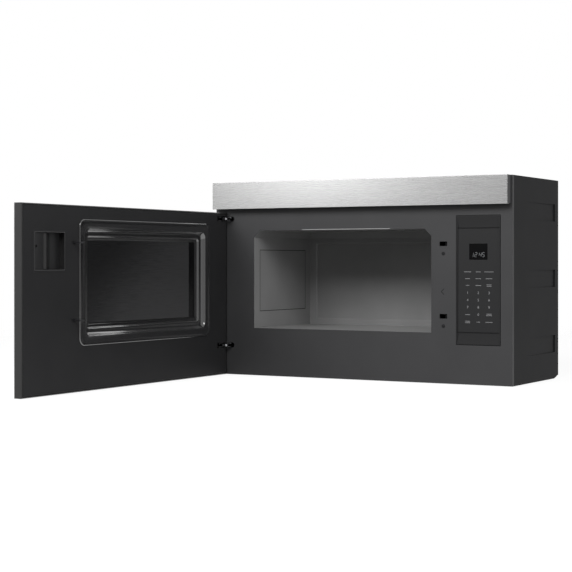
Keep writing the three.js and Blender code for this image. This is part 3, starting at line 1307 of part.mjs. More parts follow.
function makeSwitch(z) {
  const x0 = latchSpine + GUIDE_WALL + SEAT;
  const y0 = behindFrame + 2 + SEAT;
  const [back, half] = [y0 + SWITCH_LENGTH, SWITCH_HEIGHT / 2];
  const [leverReach, leverSheet, leverHalf, tabHalf, tabHeight, pivotRadius] = [12, 1, 2.5, 3, 6, 1.6];
  const body = block(x0, x0 + SWITCH_THICKNESS, y0, back, z - half, z + half);
  const leverY = Math.max(back, behindFrame + GUIDE_DEPTH + 2 * SEAT);
  const lever = block(
    x0 - leverReach, x0 + SWITCH_THICKNESS - 1, leverY - leverSheet, leverY + leverSheet,
    z - leverHalf, z + leverHalf);
  const middle = x0 + SWITCH_THICKNESS / 2;
  const tabs = [0.25, 0.75].map((share) => block(
    middle - leverSheet / 2, middle + leverSheet / 2, y0 + SWITCH_LENGTH * share - tabHalf,
    y0 + SWITCH_LENGTH * share + tabHalf, z - half - tabHeight, z));
  const holes = [0.2, 0.8].map((share) => rod(
    "x", [x0 - PAST, y0 + SWITCH_LENGTH * share, z + half / 2], SWITCH_THICKNESS + 2 * PAST, pivotRadius, 8));
  return cut(join(body, lever, ...tabs), ...holes);
}

function makeFrontScrew(z) {
  const [crown, shoulder] = [-1.7, -0.9];
  const profile = [
    [0, crown], [SCREW_HEAD / 2, crown + 0.1], [SCREW_HEAD, shoulder], [SCREW_HEAD, -SEAT],
    [SCREW_SHANK, -SEAT], [SCREW_SHANK, SCREW_LENGTH - SCREW_SHANK / 2], [SCREW_SHANK / 3, SCREW_LENGTH],
    [0, SCREW_LENGTH]];
  return turned(profile, "y", [latchSlotX, 0, z - SCREW_DROP], 12);
}

// ---------------------------------------------------------------- hinges
// The arm seen from above: an eye round the pin, a reach to the right and a turn into the cabinet.
function armOutline() {
  const half = ARM_WIDTH / 2;
  const inside = behindFrame + BRACKET_SHEET / 2;
  const shape = new THREE.Shape();
  shape.moveTo(hingeX, hingeY - half);
  shape.lineTo(armX - half, hingeY - half);
  shape.absarc(armX - half, hingeY + half, ARM_WIDTH, -Math.PI / 2, 0);
  shape.lineTo(armX + half, inside);
  shape.lineTo(armX - half, inside);
  shape.lineTo(armX - half, hingeY + half);
  shape.lineTo(hingeX, hingeY + half);
  shape.absarc(hingeX, hingeY, half, Math.PI / 2, 1.5 * Math.PI);
  return shape;
}

function makeHinge(z) {
  const arm = prism(armOutline(), "z", z - ARM_THICKNESS / 2, z + ARM_THICKNESS / 2, 4);
  const [left, right] = [armX - BRACKET_WIDTH / 2, armX + BRACKET_WIDTH / 2];
  const [low, high] = [z - BRACKET_HEIGHT / 2, z + BRACKET_HEIGHT / 2];
  const [cornerRadius, stiffenerDepth] = [4, 14];
  const plate = prism(
    roundedRect(left, right, low, high, cornerRadius), "y", behindFrame, behindFrame + BRACKET_SHEET);
  const stiffener = block(
    right - BRACKET_SHEET, right, behindFrame, behindFrame + stiffenerDepth,
    low + cornerRadius, high - cornerRadius);
  const eye = rod(
    "z", [hingeX, hingeY, z - ARM_THICKNESS], 2 * ARM_THICKNESS, PIN_RADIUS + PIN_CLEARANCE);
  return cut(join(arm, plate, stiffener), eye);
}

function makeHingePin(z) {
  return rod("z", [hingeX, hingeY, z - PIN_LENGTH / 2], PIN_LENGTH, PIN_RADIUS);
}

// ---------------------------------------------------------------- door
const frameOuter = doorOuter + FACING + SEAT;
const pocketFloor = frameOuter + DOOR_BACK_WALL;
const linerBack = doorInner - LINER;
const innerLeft = doorLeft + DOOR_HINGE_RIM;
const innerRight = doorRight - DOOR_RIM;
const armSlotHalf = ARM_SLOT_HEIGHT / 2 + 0.5;
const armSlotEnd = armX + ARM_WIDTH / 2 + 1.7;
const coverLeft = cavityLeft - COVER_LEFT_LAP;
const coverRight = cavityRight + COVER_RIGHT_LAP;
const coverBottom = CAVITY_FLOOR - COVER_BOTTOM_LAP;
const coverTop = cavityTop + COVER_TOP_LAP;
const coverReach = COVER_BAND + UPPER_SLOPE + COVER_LEDGE + LOWER_SLOPE + COVER_BORDER;
const glassLeft = coverLeft - GLASS_SIDE_LAP;
const glassRight = coverRight + GLASS_SIDE_LAP;
const glassBottom = coverBottom - GLASS_BOTTOM_LAP;
const glassTop = coverTop + GLASS_TOP_LAP;
const glassBack = doorOuter + GLASS_THICKNESS + SEAT;
const pocketRight = doorRight - POCKET_FROM_END;
const pocketLeft = pocketRight - POCKET_WIDTH;
const pocketTop = doorHeight - POCKET_FROM_TOP;
const pocketBottom = pocketTop - POCKET_HEIGHT;
const mouthLeft = pocketLeft + POCKET_MOUTH_INSET;
const mouthRight = mouthLeft + POCKET_MOUTH_WIDTH;
const filmFace = doorInner - WINDOW_DEPTH;
const pivotX = latchX + 1.5;
const pivotY = doorInner - 9;
const barLow = latchLow - LATCH_BAR_OVER;
const barHigh = latchHigh + LATCH_BAR_OVER;
const bossHeight = 8;
const springPostX = pivotX + SPRING_LEG + SEAT;

// The opening that a hinge arm needs through the hinge edge of the door.
function armSlot(z) {
  return block(
    doorLeft - PAST, armSlotEnd, frameOuter - PAST, doorInner + PAST, z - armSlotHalf, z + armSlotHalf);
}

// What the rounded hinge edge leaves away so that the door clears the cabinet as it swings.
function hingeEdgeWaste() {
  const corner = block(doorLeft - PAST, hingeX, hingeY, doorInner + PAST, -PAST, doorHeight + PAST);
  const kept = rod("z", [hingeX, hingeY, -2 * PAST], doorHeight + 4 * PAST, -hingeY - SEAT, 64);
  return cut(corner, kept);
}

function makeDoorFrame() {
  const edge = DOOR_CHAMFER;
  const plan = outline(
    [doorLeft, frameOuter], [doorRight, frameOuter], [doorRight, doorInner - edge],
    [doorRight - edge, doorInner], [doorLeft, doorInner]);
  const body = cut(
    prism(plan, "z", 0, doorHeight),
    block(innerLeft, innerRight, pocketFloor, doorInner + PAST, DOOR_RIM, doorHeight - DOOR_RIM));
  const tools = [hingeEdgeWaste()];
  for (const [level, out] of [[0, -1], [doorHeight, 1]]) {
    tools.push(prism(outline(
      [doorInner - edge, level], [doorInner - edge, level + out * PAST], [doorInner + PAST, level + out * PAST],
      [doorInner + PAST, level - out * (edge + PAST)]), "x", 0, CABINET_WIDTH));
  }
  const ledge = GLASS_LEDGE;
  const ring = block(
    glassLeft - ledge, glassRight + ledge, frameOuter, glassBack + DOOR_BACK_WALL,
    glassBottom - ledge, glassTop + ledge);
  const ribTop = linerBack - SEAT;
  const upright = (x, low, high) => block(x, x + RIB, frameOuter, ribTop, low, high);
  const crossbar = (z, left, right) => block(left, right, frameOuter, ribTop, z, z + RIB);
  const [insideLow, insideHigh] = [DOOR_RIM - 1, doorHeight - DOOR_RIM + 1];
  const strut = pocketLeft - ledge - 2 * RIB;
  const pocketRoom = 12;
  const parts = [
    body, ring,
    upright(glassLeft - ledge - RIB, insideLow, hingeHeights[0] - BRACKET_HEIGHT / 2),
    upright(strut, insideLow, insideHigh),
    crossbar((hingeHeights[0] + hingeHeights[1]) / 2, innerLeft - 1, glassLeft - ledge),
    crossbar(pocketBottom - pocketRoom, strut, innerRight + 1),
    crossbar(pocketTop + pocketRoom - RIB, strut, innerRight + 1),
    crossbar(pocketBottom / 2, strut, innerRight + 1)];
  for (const quarter of [1, 2, 3]) {
    const x = glassLeft + (glassRight - glassLeft) * quarter / 4;
    parts.push(upright(x, insideLow, glassBottom - ledge));
  }
  const bossRight = hingeX + 8;
  for (const z of hingeHeights) {
    for (const side of [-1, 1]) {
      const ends = [z + side * armSlotHalf, z + side * (PIN_LENGTH / 2 + RIB)];
      parts.push(block(
        innerLeft - 1, bossRight, frameOuter, hingeY + 9, Math.min(...ends), Math.max(...ends)));
    }
    tools.push(armSlot(z));
  }
  const bossHalf = 7;
  for (const low of [barLow - SPRING_SPACE - bossHeight, barHigh + SEAT]) {
    parts.push(block(pivotX - bossHalf, pivotX + bossHalf, frameOuter, pivotY + 5, low, low + bossHeight));
  }
  parts.push(block(
    springPostX, springPostX + RIB, frameOuter, pivotY + TRUNNION, barLow - SPRING_SPACE, barLow - 1));
  const trunnionHole = rod(
    "z", [pivotX, pivotY, barLow - SPRING_SPACE - bossHeight - PAST],
    barHigh - barLow + SPRING_SPACE + 2 * bossHeight + 2 * PAST, TRUNNION + PIN_CLEARANCE, 12);
  tools.push(
    block(glassLeft - SEAT, glassRight + SEAT, frameOuter - PAST, glassBack, glassBottom - SEAT, glassTop + SEAT),
    block(
      coverLeft + FRAME_WINDOW_INSET, coverRight - FRAME_WINDOW_INSET, frameOuter - PAST, doorInner,
      coverBottom + FRAME_WINDOW_INSET, coverTop - FRAME_WINDOW_INSET),
    block(
      pocketLeft - SEAT, pocketRight + SEAT, frameOuter - PAST, pocketFloor + PAST,
      pocketBottom - SEAT, pocketTop + SEAT),
    trunnionHole);
  // A collar on each side of a hinge eye carries the door on the arm.
  const collars = [];
  const pinHoles = [];
  const collarLength = armSlotHalf - ARM_THICKNESS / 2 - SEAT + 1;
  for (const z of hingeHeights) {
    const above = z + ARM_THICKNESS / 2 + SEAT;
    const below = z - ARM_THICKNESS / 2 - SEAT - collarLength;
    collars.push(
      rod("z", [hingeX, hingeY, above], collarLength, ARM_WIDTH / 2, 16),
      rod("z", [hingeX, hingeY, below], collarLength, ARM_WIDTH / 2, 16));
    pinHoles.push(rod(
      "z", [hingeX, hingeY, z - PIN_LENGTH / 2 - SEAT], PIN_LENGTH + 2 * SEAT, PIN_RADIUS + PIN_CLEARANCE));
  }
  return cut(join(cut(join(...parts), ...tools), ...collars), ...pinHoles);
}

function makeDoorFacing() {
  const [glassRadius, mouthRadius] = [3, 6];
  const throughFacing = (shape) => prism(shape, "y", doorOuter - PAST, doorOuter + FACING + PAST);
  return cut(
    block(doorLeft, doorRight, doorOuter, doorOuter + FACING, 0, doorHeight),
    throughFacing(roundedRect(
      glassLeft - SEAT, glassRight + SEAT, glassBottom - SEAT, glassTop + SEAT, glassRadius)),
    throughFacing(roundedRect(
      mouthLeft, mouthRight, pocketBottom + POCKET_MOUTH_RIM, pocketTop - POCKET_MOUTH_RIM, mouthRadius)));
}

function makeDoorGlass() {
  const radius = 3;
  return prism(
    roundedRect(glassLeft, glassRight, glassBottom, glassTop, radius), "y",
    doorOuter, doorOuter + GLASS_THICKNESS);
}

function makeDoorLiner() {
  const swing = -hingeY - SEAT;
  const edgeClear = hingeX - Math.sqrt(swing ** 2 - (doorInner - hingeY) ** 2);
  const left = Math.max(innerLeft, edgeClear) + SEAT;
  const plate = block(
    left, innerRight - SEAT, linerBack, doorInner, DOOR_RIM + SEAT, doorHeight - DOOR_RIM - SEAT);
  const lap = COVER_SEAT_LAP;
  const pocketHole = block(
    pocketLeft - SEAT, pocketRight + SEAT, linerBack - PAST, doorInner + 2 * PAST,
    pocketBottom - SEAT, pocketTop + SEAT);
  const tools = [
    prism(roundedRect(
      coverLeft + lap, coverRight - lap, coverBottom + lap, coverTop - lap, COVER_RADIUS - lap), "y",
    linerBack - PAST, doorInner + PAST, 4), pocketHole];
  const slotHalf = HOOK_THICKNESS / 2 + HOOK_SLOT_GAP;
  for (const z of latchHeights) {
    tools.push(block(
      latchX - HOOK_BODY / 2 - 2 * HOOK_SLOT_GAP, hookRight + 2 * HOOK_SLOT_GAP, linerBack - PAST,
      doorInner + PAST, z - slotHalf, z + slotHalf));
  }
  const bezel = cut(block(
    pocketLeft - POCKET_BEZEL, pocketRight + POCKET_BEZEL, doorInner - LINER / 2,
    doorInner + POCKET_BEZEL_PROUD, pocketBottom - POCKET_BEZEL, pocketTop + POCKET_BEZEL), pocketHole);
  return join(cut(plate, ...tools, ...hingeHeights.map(armSlot)), bezel);
}

// A thin moulded ring over the choke: a beaded rim, a band, and slopes down to the window.
function makeChokeCover() {
  const back = filmFace + SEAT;
  const face = doorInner + COVER_PROUD;
  const bead = face + COVER_BEAD_HEIGHT;
  const under = doorInner + SEAT;
  const skirt = COVER_SEAT_LAP + SEAT;
  const skirtEnd = doorInner - COVER_SKIRT;
  const ledge = face - UPPER_DROP;
  const border = ledge - LOWER_DROP;
  const ledgeFrom = COVER_BAND + UPPER_SLOPE;
  const ledgeTo = ledgeFrom + COVER_LEDGE;
  const borderFrom = ledgeTo + LOWER_SLOPE;
  const slant = COVER_WALL / 2; // moves the inner side of a slope outwards to keep the wall's thickness
  return framed([
    [0, under], [0, bead - COVER_BEAD_HEIGHT / 2], [COVER_BEAD / 3, bead], [2 * COVER_BEAD / 3, bead],
    [COVER_BEAD, face], [COVER_BAND, face], [ledgeFrom, ledge], [ledgeTo, ledge], [borderFrom, border],
    [coverReach, border], [coverReach, back], [borderFrom - slant, back],
    [ledgeTo - slant, ledge - COVER_WALL], [ledgeFrom - slant, ledge - COVER_WALL],
    [COVER_BAND - slant, face - COVER_WALL], [skirt + COVER_WALL, face - COVER_WALL],
    [skirt + COVER_WALL, skirtEnd], [skirt, skirtEnd], [skirt, under],
  ]);
}

// A closed profile of [inset, y] points carried round the rim of the choke cover.
function framed(profile, cornerSteps = 5) {
  const around = 4 * (cornerSteps + 1);
  const positions = [];
  for (const [inset, y] of profile) {
    const radius = COVER_RADIUS - COVER_RADIUS_LOSS * Math.max(0, inset - COVER_BAND);
    const [left, right] = [coverLeft + inset + radius, coverRight - inset - radius];
    const [low, high] = [coverBottom + inset + radius, coverTop - inset - radius];
    const centres = [[right, high], [left, high], [left, low], [right, low]];
    centres.forEach(([x, z], quarter) => {
      for (let i = 0; i <= cornerSteps; i += 1) {
        const angle = (quarter + i / cornerSteps) * Math.PI / 2;
        positions.push(x + radius * Math.cos(angle), y, z + radius * Math.sin(angle));
      }
    });
  }
  const corners = [];
  profile.forEach((_, row) => {
    const next = (row + 1) % profile.length;
    for (let i = 0; i < around; i += 1) {
      const j = (i + 1) % around;
      const [a, b, c, d] = [row * around + i, row * around + j, next * around + j, next * around + i];
      corners.push(a, b, c, a, c, d);
    }
  });
  const geometry = new THREE.BufferGeometry();
  geometry.setAttribute("position", new THREE.Float32BufferAttribute(positions, 3));
  geometry.setIndex(corners);
  return solid(geometry);
}

function windowSheet(inset, back, front) {
  return block(
    coverLeft + inset, coverRight - inset, back, front, coverBottom + inset, coverTop - inset);
}

function makeWindowFilm() {
  return windowSheet(FILM_INSET, filmFace - FILM, filmFace);
}

// The perforated screen rests on the ledge behind the glass; its holes are too fine to cut.
function makeWindowScreen() {
  const front = filmFace - FILM - SEAT;
  return windowSheet(SCREEN_INSET, glassBack + DOOR_BACK_WALL + SEAT, front);
}

// The cup seen from above: a low floor behind the finger opening that rises to the free edge.
function makeHandleCup() {
  const deep = frameOuter + POCKET_WALL + POCKET_FLOOR;
  const shallow = doorInner - POCKET_SHALLOW;
  const knee = mouthLeft + POCKET_MOUTH_WIDTH * 0.45;
  const [lead, overMouth, corner] = [10, 6, 3];
  const section = (inset) => {
    const shape = new THREE.Shape();
    shape.moveTo(pocketLeft + inset, frameOuter - inset);
    shape.lineTo(pocketLeft + inset, deep - inset);
    shape.lineTo(knee, deep - inset);
    shape.bezierCurveTo(
      knee + lead, deep - inset, mouthRight - overMouth, shallow - inset - lead / 2,
      mouthRight + overMouth, shallow - inset);
    shape.lineTo(pocketRight - inset - corner, shallow - inset);
    shape.lineTo(pocketRight - inset, shallow - inset - corner);
    shape.lineTo(pocketRight - inset, frameOuter - inset);
    return shape;
  };
  const outer = prism(section(0), "z", pocketBottom, pocketTop, 10);
  const inner = prism(section(POCKET_WALL), "z", pocketBottom + POCKET_WALL, pocketTop - POCKET_WALL, 10);
  const screwZ = pocketBottom + POCKET_HEIGHT * 0.62;
  const screwHole = rod(
    "y", [pocketRight - 2 * POCKET_WALL - corner, shallow - POCKET_WALL - PAST, screwZ],
    POCKET_WALL + 2 * PAST, POCKET_WALL, 10);
  return cut(outer, inner, screwHole);
}

// ---------------------------------------------------------------- latch
function hookOutline() {
  const left = latchX - HOOK_BODY / 2;
  const root = pivotY - 1;
  return outline(
    [left, root], [hookRight + 1.5, root], [hookRight, doorInner + 2], [hookRight, barbAt],
    [hookRight + HOOK_BARB, barbAt + 1], [hookRight + 0.5, hookTip], [left + 1.5, hookTip],
    [left, hookTip - 3]);
}

// One moulding: two hooks on a bar that turns on a trunnion at each end.
function makeLatchBar() {
  const half = LATCH_BAR / 2;
  const [wall, hollowEnd] = [1.5, 12];
  const bar = block(pivotX - half, pivotX + half, pivotY - half, pivotY + half, barLow, barHigh);
  const hollow = block(
    pivotX - half - PAST, pivotX - wall, pivotY - half + wall, pivotY + half - wall,
    latchLow + hollowEnd, latchHigh - hollowEnd);
  const trunnionLow = barLow - SPRING_SPACE - TRUNNION_LENGTH + 2;
  const trunnion = rod(
    "z", [pivotX, pivotY, trunnionLow], barHigh - trunnionLow + bossHeight, TRUNNION, 12);
  const hooks = latchHeights.map((z) => prism(
    hookOutline(), "z", z - HOOK_THICKNESS / 2, z + HOOK_THICKNESS / 2));
  return join(cut(bar, hollow), trunnion, ...hooks);
}

// Torsion spring wound round the lower trunnion, one leg on a post and one under the bar.
class SpringPath extends THREE.Curve {
  getPoint(t, target = new THREE.Vector3()) {
    const radius = TRUNNION + SPRING_WIRE / 2 + PIN_CLEARANCE;
    const legShare = 0.12;
    const high = barLow - SEAT - SPRING_WIRE / 2;
    const low = high - SPRING_TURNS * SPRING_PITCH;
    if (t < legShare) {
      return target.set(pivotX + SPRING_LEG * (1 - t / legShare), pivotY - radius, low);
    }
    if (t > 1 - legShare) {
      const share = (t - 1 + legShare) / legShare;
      return target.set(pivotX - radius, pivotY + share * SPRING_LEG / 2, high);
    }
    const wound = (t - legShare) / (1 - 2 * legShare);
    const angle = -Math.PI / 2 - wound * SPRING_TURNS * 2 * Math.PI;
    return target.set(
      pivotX + radius * Math.cos(angle), pivotY + radius * Math.sin(angle), low + wound * (high - low));
  }
}

function makeLatchSpring() {
  const wire = new THREE.Shape();
  wire.absarc(0, 0, SPRING_WIRE / 2, 0, 2 * Math.PI);
  return solid(new THREE.ExtrudeGeometry(wire, {
    steps: 46, curveSegments: 3, extrudePath: new SpringPath(), bevelEnabled: false,
  }));
}

// ---------------------------------------------------------------- assembly
piece("front_frame", makeFrontFrame(), frontPaint, cabinet);
piece("outer_wrap", makeOuterWrap(), blackPaint, cabinet);
piece("exhaust_cover", makeExhaustCover(), zincSteel, cabinet);
piece("cord_bushing", makeCordBushing(), darkPlastic, cabinet);
piece("back_panel", makeBackPanel(), zincSteel, cabinet);
piece("wall_plate", makeWallPlate(), zincSteel, cabinet);
piece("base_pan", makeBasePan(), blackPaint, cabinet);

piece("cavity_liner", makeCavityLiner(), cavityPaint, cabinet);
piece("feed_cover", makeFeedCover(), mica, cabinet);
piece("feed_box", makeFeedBox(), zincSteel, cabinet);
piece("waveguide", makeWaveguide(), zincSteel, cabinet);
piece("magnetron", makeMagnetron(), aluminium, cabinet);
piece("stirrer_wheel", makeStirrerWheel(), aluminium, cabinet);
piece("stirrer_motor", makeStirrerMotor(), zincSteel, cabinet);
piece("fan_shroud", makeFanShroud(), darkPlastic, cabinet);
piece("fan_wheel", makeFanWheel(), whitePlastic, cabinet);
piece("fan_motor", makeFanMotor(), copper, cabinet);

for (const [label, side] of [["left", -1], ["right", 1]]) {
  piece(`blower_housing_${label}`, makeBlowerHousing(side), zincSteel, cabinet);
  piece(`blower_wheel_${label}`, makeBlowerWheel(side), darkPlastic, cabinet);
  piece(`grease_filter_${label}`, makeGreaseFilter(side), aluminium, cabinet);
  piece(`lamp_lens_${label}`, makeLampLens(side), clearGlass, cabinet);
  piece(`lamp_housing_${label}`, makeLampHousing(side), whitePlastic, cabinet);
  piece(`trim_cap_${label}`, makeTrimCap(side), darkPlastic, cabinet);
}
piece("blower_motor", makeBlowerMotor(), zincSteel, cabinet);
piece("blower_shaft", makeBlowerShaft(), brightSteel, cabinet);
piece("charcoal_filter", makeCharcoalFilter(), carbon, cabinet);
piece("hv_transformer", makeTransformer(), copper, cabinet);
piece("hv_capacitor", makeCapacitor(), aluminium, cabinet);

piece("top_trim", makeTopTrim(), brushedSteel, cabinet);
piece("control_bezel", makeControlBezel(), darkPlastic, cabinet);
piece("keypad_overlay", makeKeypadOverlay(), darkPlastic, cabinet);
piece("display_window", makeDisplayWindow(), smokedGlass, cabinet);
piece("control_board", makeControlBoard(), circuitBoard, cabinet);

const switchPitch = SWITCH_HEIGHT + 14;
piece("latch_board", makeLatchBoard(), darkPlastic, cabinet);
piece("primary_switch", makeSwitch(latchHigh), darkPlastic, cabinet);
piece("monitor_switch", makeSwitch(latchHigh - switchPitch), darkPlastic, cabinet);
piece("secondary_switch", makeSwitch(latchLow), darkPlastic, cabinet);
for (const [i, label] of ["upper", "lower"].entries()) {
  piece(`front_screw_${label}`, makeFrontScrew(latchHeights[i]), blackPaint, cabinet);
  piece(`hinge_${label}`, makeHinge(hingeHeights[i]), brightSteel, cabinet);
  piece(`hinge_pin_${label}`, makeHingePin(hingeHeights[i]), brightSteel, door);
}

piece("door_frame", makeDoorFrame(), darkPlastic, door);
piece("door_facing", makeDoorFacing(), brushedSteel, door);
piece("door_glass", makeDoorGlass(), smokedGlass, door);
piece("door_liner", makeDoorLiner(), blackPaint, door);
piece("choke_cover", makeChokeCover(), glossPlastic, door);
piece("window_film", makeWindowFilm(), smokedGlass, door);
piece("window_screen", makeWindowScreen(), blackPaint, door);
piece("handle_cup", makeHandleCup(), darkPlastic, door);
piece("latch_bar", makeLatchBar(), darkPlastic, door);
piece("latch_spring", makeLatchSpring(), brightSteel, door);

export default microwave;
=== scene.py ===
"""Looks of an over-the-range microwave oven with its door open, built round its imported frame."""

from math import cos, pi, radians, sin

import bmesh
import bpy
from mathutils import Matrix, Vector


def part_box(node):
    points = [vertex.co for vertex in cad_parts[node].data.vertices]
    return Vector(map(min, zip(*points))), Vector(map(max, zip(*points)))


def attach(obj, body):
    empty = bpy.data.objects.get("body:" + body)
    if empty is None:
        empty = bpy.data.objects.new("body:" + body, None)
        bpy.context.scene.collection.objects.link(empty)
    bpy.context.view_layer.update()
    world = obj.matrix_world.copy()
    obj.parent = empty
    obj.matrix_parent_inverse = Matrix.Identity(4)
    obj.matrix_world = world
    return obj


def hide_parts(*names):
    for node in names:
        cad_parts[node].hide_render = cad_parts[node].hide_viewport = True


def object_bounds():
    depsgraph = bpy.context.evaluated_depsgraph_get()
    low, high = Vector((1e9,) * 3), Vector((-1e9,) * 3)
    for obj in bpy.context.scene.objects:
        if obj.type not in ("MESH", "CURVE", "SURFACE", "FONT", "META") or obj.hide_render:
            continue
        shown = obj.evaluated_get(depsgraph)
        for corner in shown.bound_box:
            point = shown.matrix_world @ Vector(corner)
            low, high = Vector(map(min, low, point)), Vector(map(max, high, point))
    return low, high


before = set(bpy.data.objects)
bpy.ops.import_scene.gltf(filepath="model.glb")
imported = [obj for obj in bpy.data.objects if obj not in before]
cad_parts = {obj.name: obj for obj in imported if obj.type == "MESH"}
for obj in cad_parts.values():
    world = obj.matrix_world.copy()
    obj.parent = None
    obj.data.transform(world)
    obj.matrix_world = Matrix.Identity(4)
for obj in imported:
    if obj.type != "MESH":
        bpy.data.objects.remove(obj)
cad_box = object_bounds()

# ---------------------------------------------------------------- camera
# A long lens, level and a little above the middle of the oven, well to its right. A small shift
# keeps upright edges upright while the oven sits where the photograph has it.
IMAGE_SIZE = 572  # pixels
FOCAL_PIXELS = 1497.0
LEVEL_LINE_ABOVE_MIDDLE = 25.1  # pixels
SENSOR_MM = 36.0
CAMERA_PLACE = (1.5748, -3.3343, 0.0426)
CAMERA_HEADING = 0.5243  # radians, turned left from square on to the wall
scene = bpy.context.scene
camera_data = bpy.data.cameras.new("camera")
camera_data.sensor_width = SENSOR_MM
camera_data.lens = SENSOR_MM * FOCAL_PIXELS / IMAGE_SIZE
camera_data.shift_y = -LEVEL_LINE_ABOVE_MIDDLE / IMAGE_SIZE
camera = bpy.data.objects.new("camera", camera_data)
camera.location = CAMERA_PLACE
camera.rotation_euler = (pi / 2, 0, CAMERA_HEADING)
scene.collection.objects.link(camera)
scene.camera = camera
scene.view_settings.view_transform = "Standard"


# ---------------------------------------------------------------- studio
# A white table just under the oven melts into a white room. Two raised soft boxes in front light
# the door's oven side and the front. A lower strip draws the trim's highlight, and a box far to
# the right lights the cabinet's side.
def linear(colour):
    """An sRGB hex colour as linear red, green, blue and alpha."""
    parts = [((colour >> shift) & 255) / 255 for shift in (16, 8, 0)]
    return (*[c / 12.92 if c <= 0.04045 else ((c + 0.055) / 1.055) ** 2.4 for c in parts], 1.0)


def add_node(tree, kind, settings=None, stops=(), **links):
    """Adds a shader node with its settings, a ramp's stops, and its inputs by name or number."""
    made = tree.nodes.new("ShaderNode" + kind)
    for key, value in (settings or {}).items():
        setattr(made, key, value)
    for i, (position, colour) in enumerate(stops):
        made.color_ramp.elements[i].position = position
        made.color_ramp.elements[i].color = linear(colour)
    for key, value in links.items():
        by_number = key[1:].isdigit()
        socket = made.inputs[int(key[1:]) if by_number else key.replace("_", " ")]
        if isinstance(value, bpy.types.NodeSocket):
            tree.links.new(value, socket)
        else:
            socket.default_value = value
    return made


FLOOR_DROP = 0.002
FLOOR_RADIUS = 4.0
FLOOR_POINTS = 48
FLOOR_MIDDLE_Y = -0.4
FLOOR_FADE = (1.3, 3.2)  # distances from its middle between which the table melts away
FLOOR_GLOW = 0.9  # keeps the table white to the eye however little light falls on it
PAPER_WHITE = 0x808080
floor_mesh = bpy.data.meshes.new("floor")
turns = [2 * pi * i / FLOOR_POINTS for i in range(FLOOR_POINTS)]
floor_edge = [(FLOOR_RADIUS * cos(turn), FLOOR_RADIUS * sin(turn), 0) for turn in turns]
floor_mesh.from_pydata(floor_edge, [], [range(FLOOR_POINTS)])
floor = bpy.data.objects.new("floor", floor_mesh)
floor.location = (0, FLOOR_MIDDLE_Y, cad_box[0].z - FLOOR_DROP)
scene.collection.objects.link(floor)

# Matt white paper without any gloss: the eye sees no edge and no mirror image, only the oven's
# soft shadow. From below it is clear, so that it never hides the oven's underside.
paper = bpy.data.materials.new("white_paper_sweep")
paper.use_nodes = True
tree = paper.node_tree
tree.nodes.clear()
place = add_node(tree, "TexCoord")
distance = add_node(tree, "VectorMath", {"operation": "LENGTH"}, _0=place.outputs["Object"])
fade = add_node(tree, "MapRange", {"interpolation_type": "SMOOTHSTEP"},
                Value=distance.outputs["Value"], From_Min=FLOOR_FADE[0], From_Max=FLOOR_FADE[1])
under = add_node(tree, "NewGeometry")
hidden = add_node(tree, "Math", {"operation": "MAXIMUM"}, _0=fade.outputs["Result"],
                  _1=under.outputs["Backfacing"])
rays = add_node(tree, "LightPath")
seen = add_node(tree, "Math", {"operation": "MAXIMUM"}, _0=rays.outputs["Is Camera Ray"],
                _1=rays.outputs["Is Glossy Ray"])
glow = add_node(tree, "Math", {"operation": "MULTIPLY"}, _0=seen.outputs[0], _1=FLOOR_GLOW)
matt = add_node(tree, "BsdfDiffuse", Color=linear(PAPER_WHITE))
shine = add_node(tree, "Emission", Color=(1, 1, 1, 1), Strength=glow.outputs[0])
lit = add_node(tree, "AddShader", _0=matt.outputs[0], _1=shine.outputs[0])
clear = add_node(tree, "BsdfTransparent")
mixed = add_node(tree, "MixShader", Fac=hidden.outputs[0], _1=lit.outputs[0], _2=clear.outputs[0])
add_node(tree, "OutputMaterial", Surface=mixed.outputs[0])
floor_mesh.materials.append(paper)

ROOM_LIGHT = 0.13  # falls on the oven from all sides
ROOM_BEHIND = 0.8  # how bright gloss sees the room towards the wall
ROOM_IN_FRONT = 0.44  # and towards the viewer
world = bpy.data.worlds.new("white_room")
world.use_nodes = True
scene.world = world
tree = world.node_tree
tree.nodes.clear()
rays = add_node(tree, "LightPath")
seen = add_node(tree, "Math", {"operation": "ADD"}, _0=rays.outputs["Is Camera Ray"],
                _1=rays.outputs["Is Glossy Ray"])
seen = add_node(tree, "Math", {"operation": "ADD", "use_clamp": True}, _0=seen.outputs[0],
                _1=rays.outputs["Is Transmission Ray"])
direction = add_node(tree, "TexCoord")
parts = add_node(tree, "SeparateXYZ", Vector=direction.outputs["Generated"])
shaded = add_node(tree, "MapRange", Value=parts.outputs["Y"], From_Min=-1.0, From_Max=1.0,
                  To_Min=1 - ROOM_IN_FRONT, To_Max=1 - ROOM_BEHIND)
dimmed = add_node(tree, "Math", {"operation": "MULTIPLY"}, _0=shaded.outputs["Result"],
                  _1=rays.outputs["Is Glossy Ray"])
shown = add_node(tree, "Math", {"operation": "SUBTRACT"}, _0=1.0, _1=dimmed.outputs[0])
ambient = add_node(tree, "Background", Color=(1, 1, 1, 1), Strength=ROOM_LIGHT)
white = add_node(tree, "Background", Color=(1, 1, 1, 1), Strength=shown.outputs[0])
mixed = add_node(tree, "MixShader", Fac=seen.outputs[0], _1=ambient.outputs[0],
                 _2=white.outputs[0])
add_node(tree, "OutputWorld", Surface=mixed.outputs[0])


def softbox(name, place, aim, size, watts, mirrored=True):
    """A rectangular studio light turned to shine at a point; gloss may show it or not."""
    light = bpy.data.lights.new(name, "AREA")
    light.shape = "RECTANGLE"
    light.size, light.size_y = size
    light.energy = watts
    made = bpy.data.objects.new(name, light)
    made.location = place
    made.rotation_euler = (Vector(aim) - Vector(place)).to_track_quat("-Z", "Y").to_euler()
    made.visible_glossy = mirrored
    scene.collection.objects.link(made)


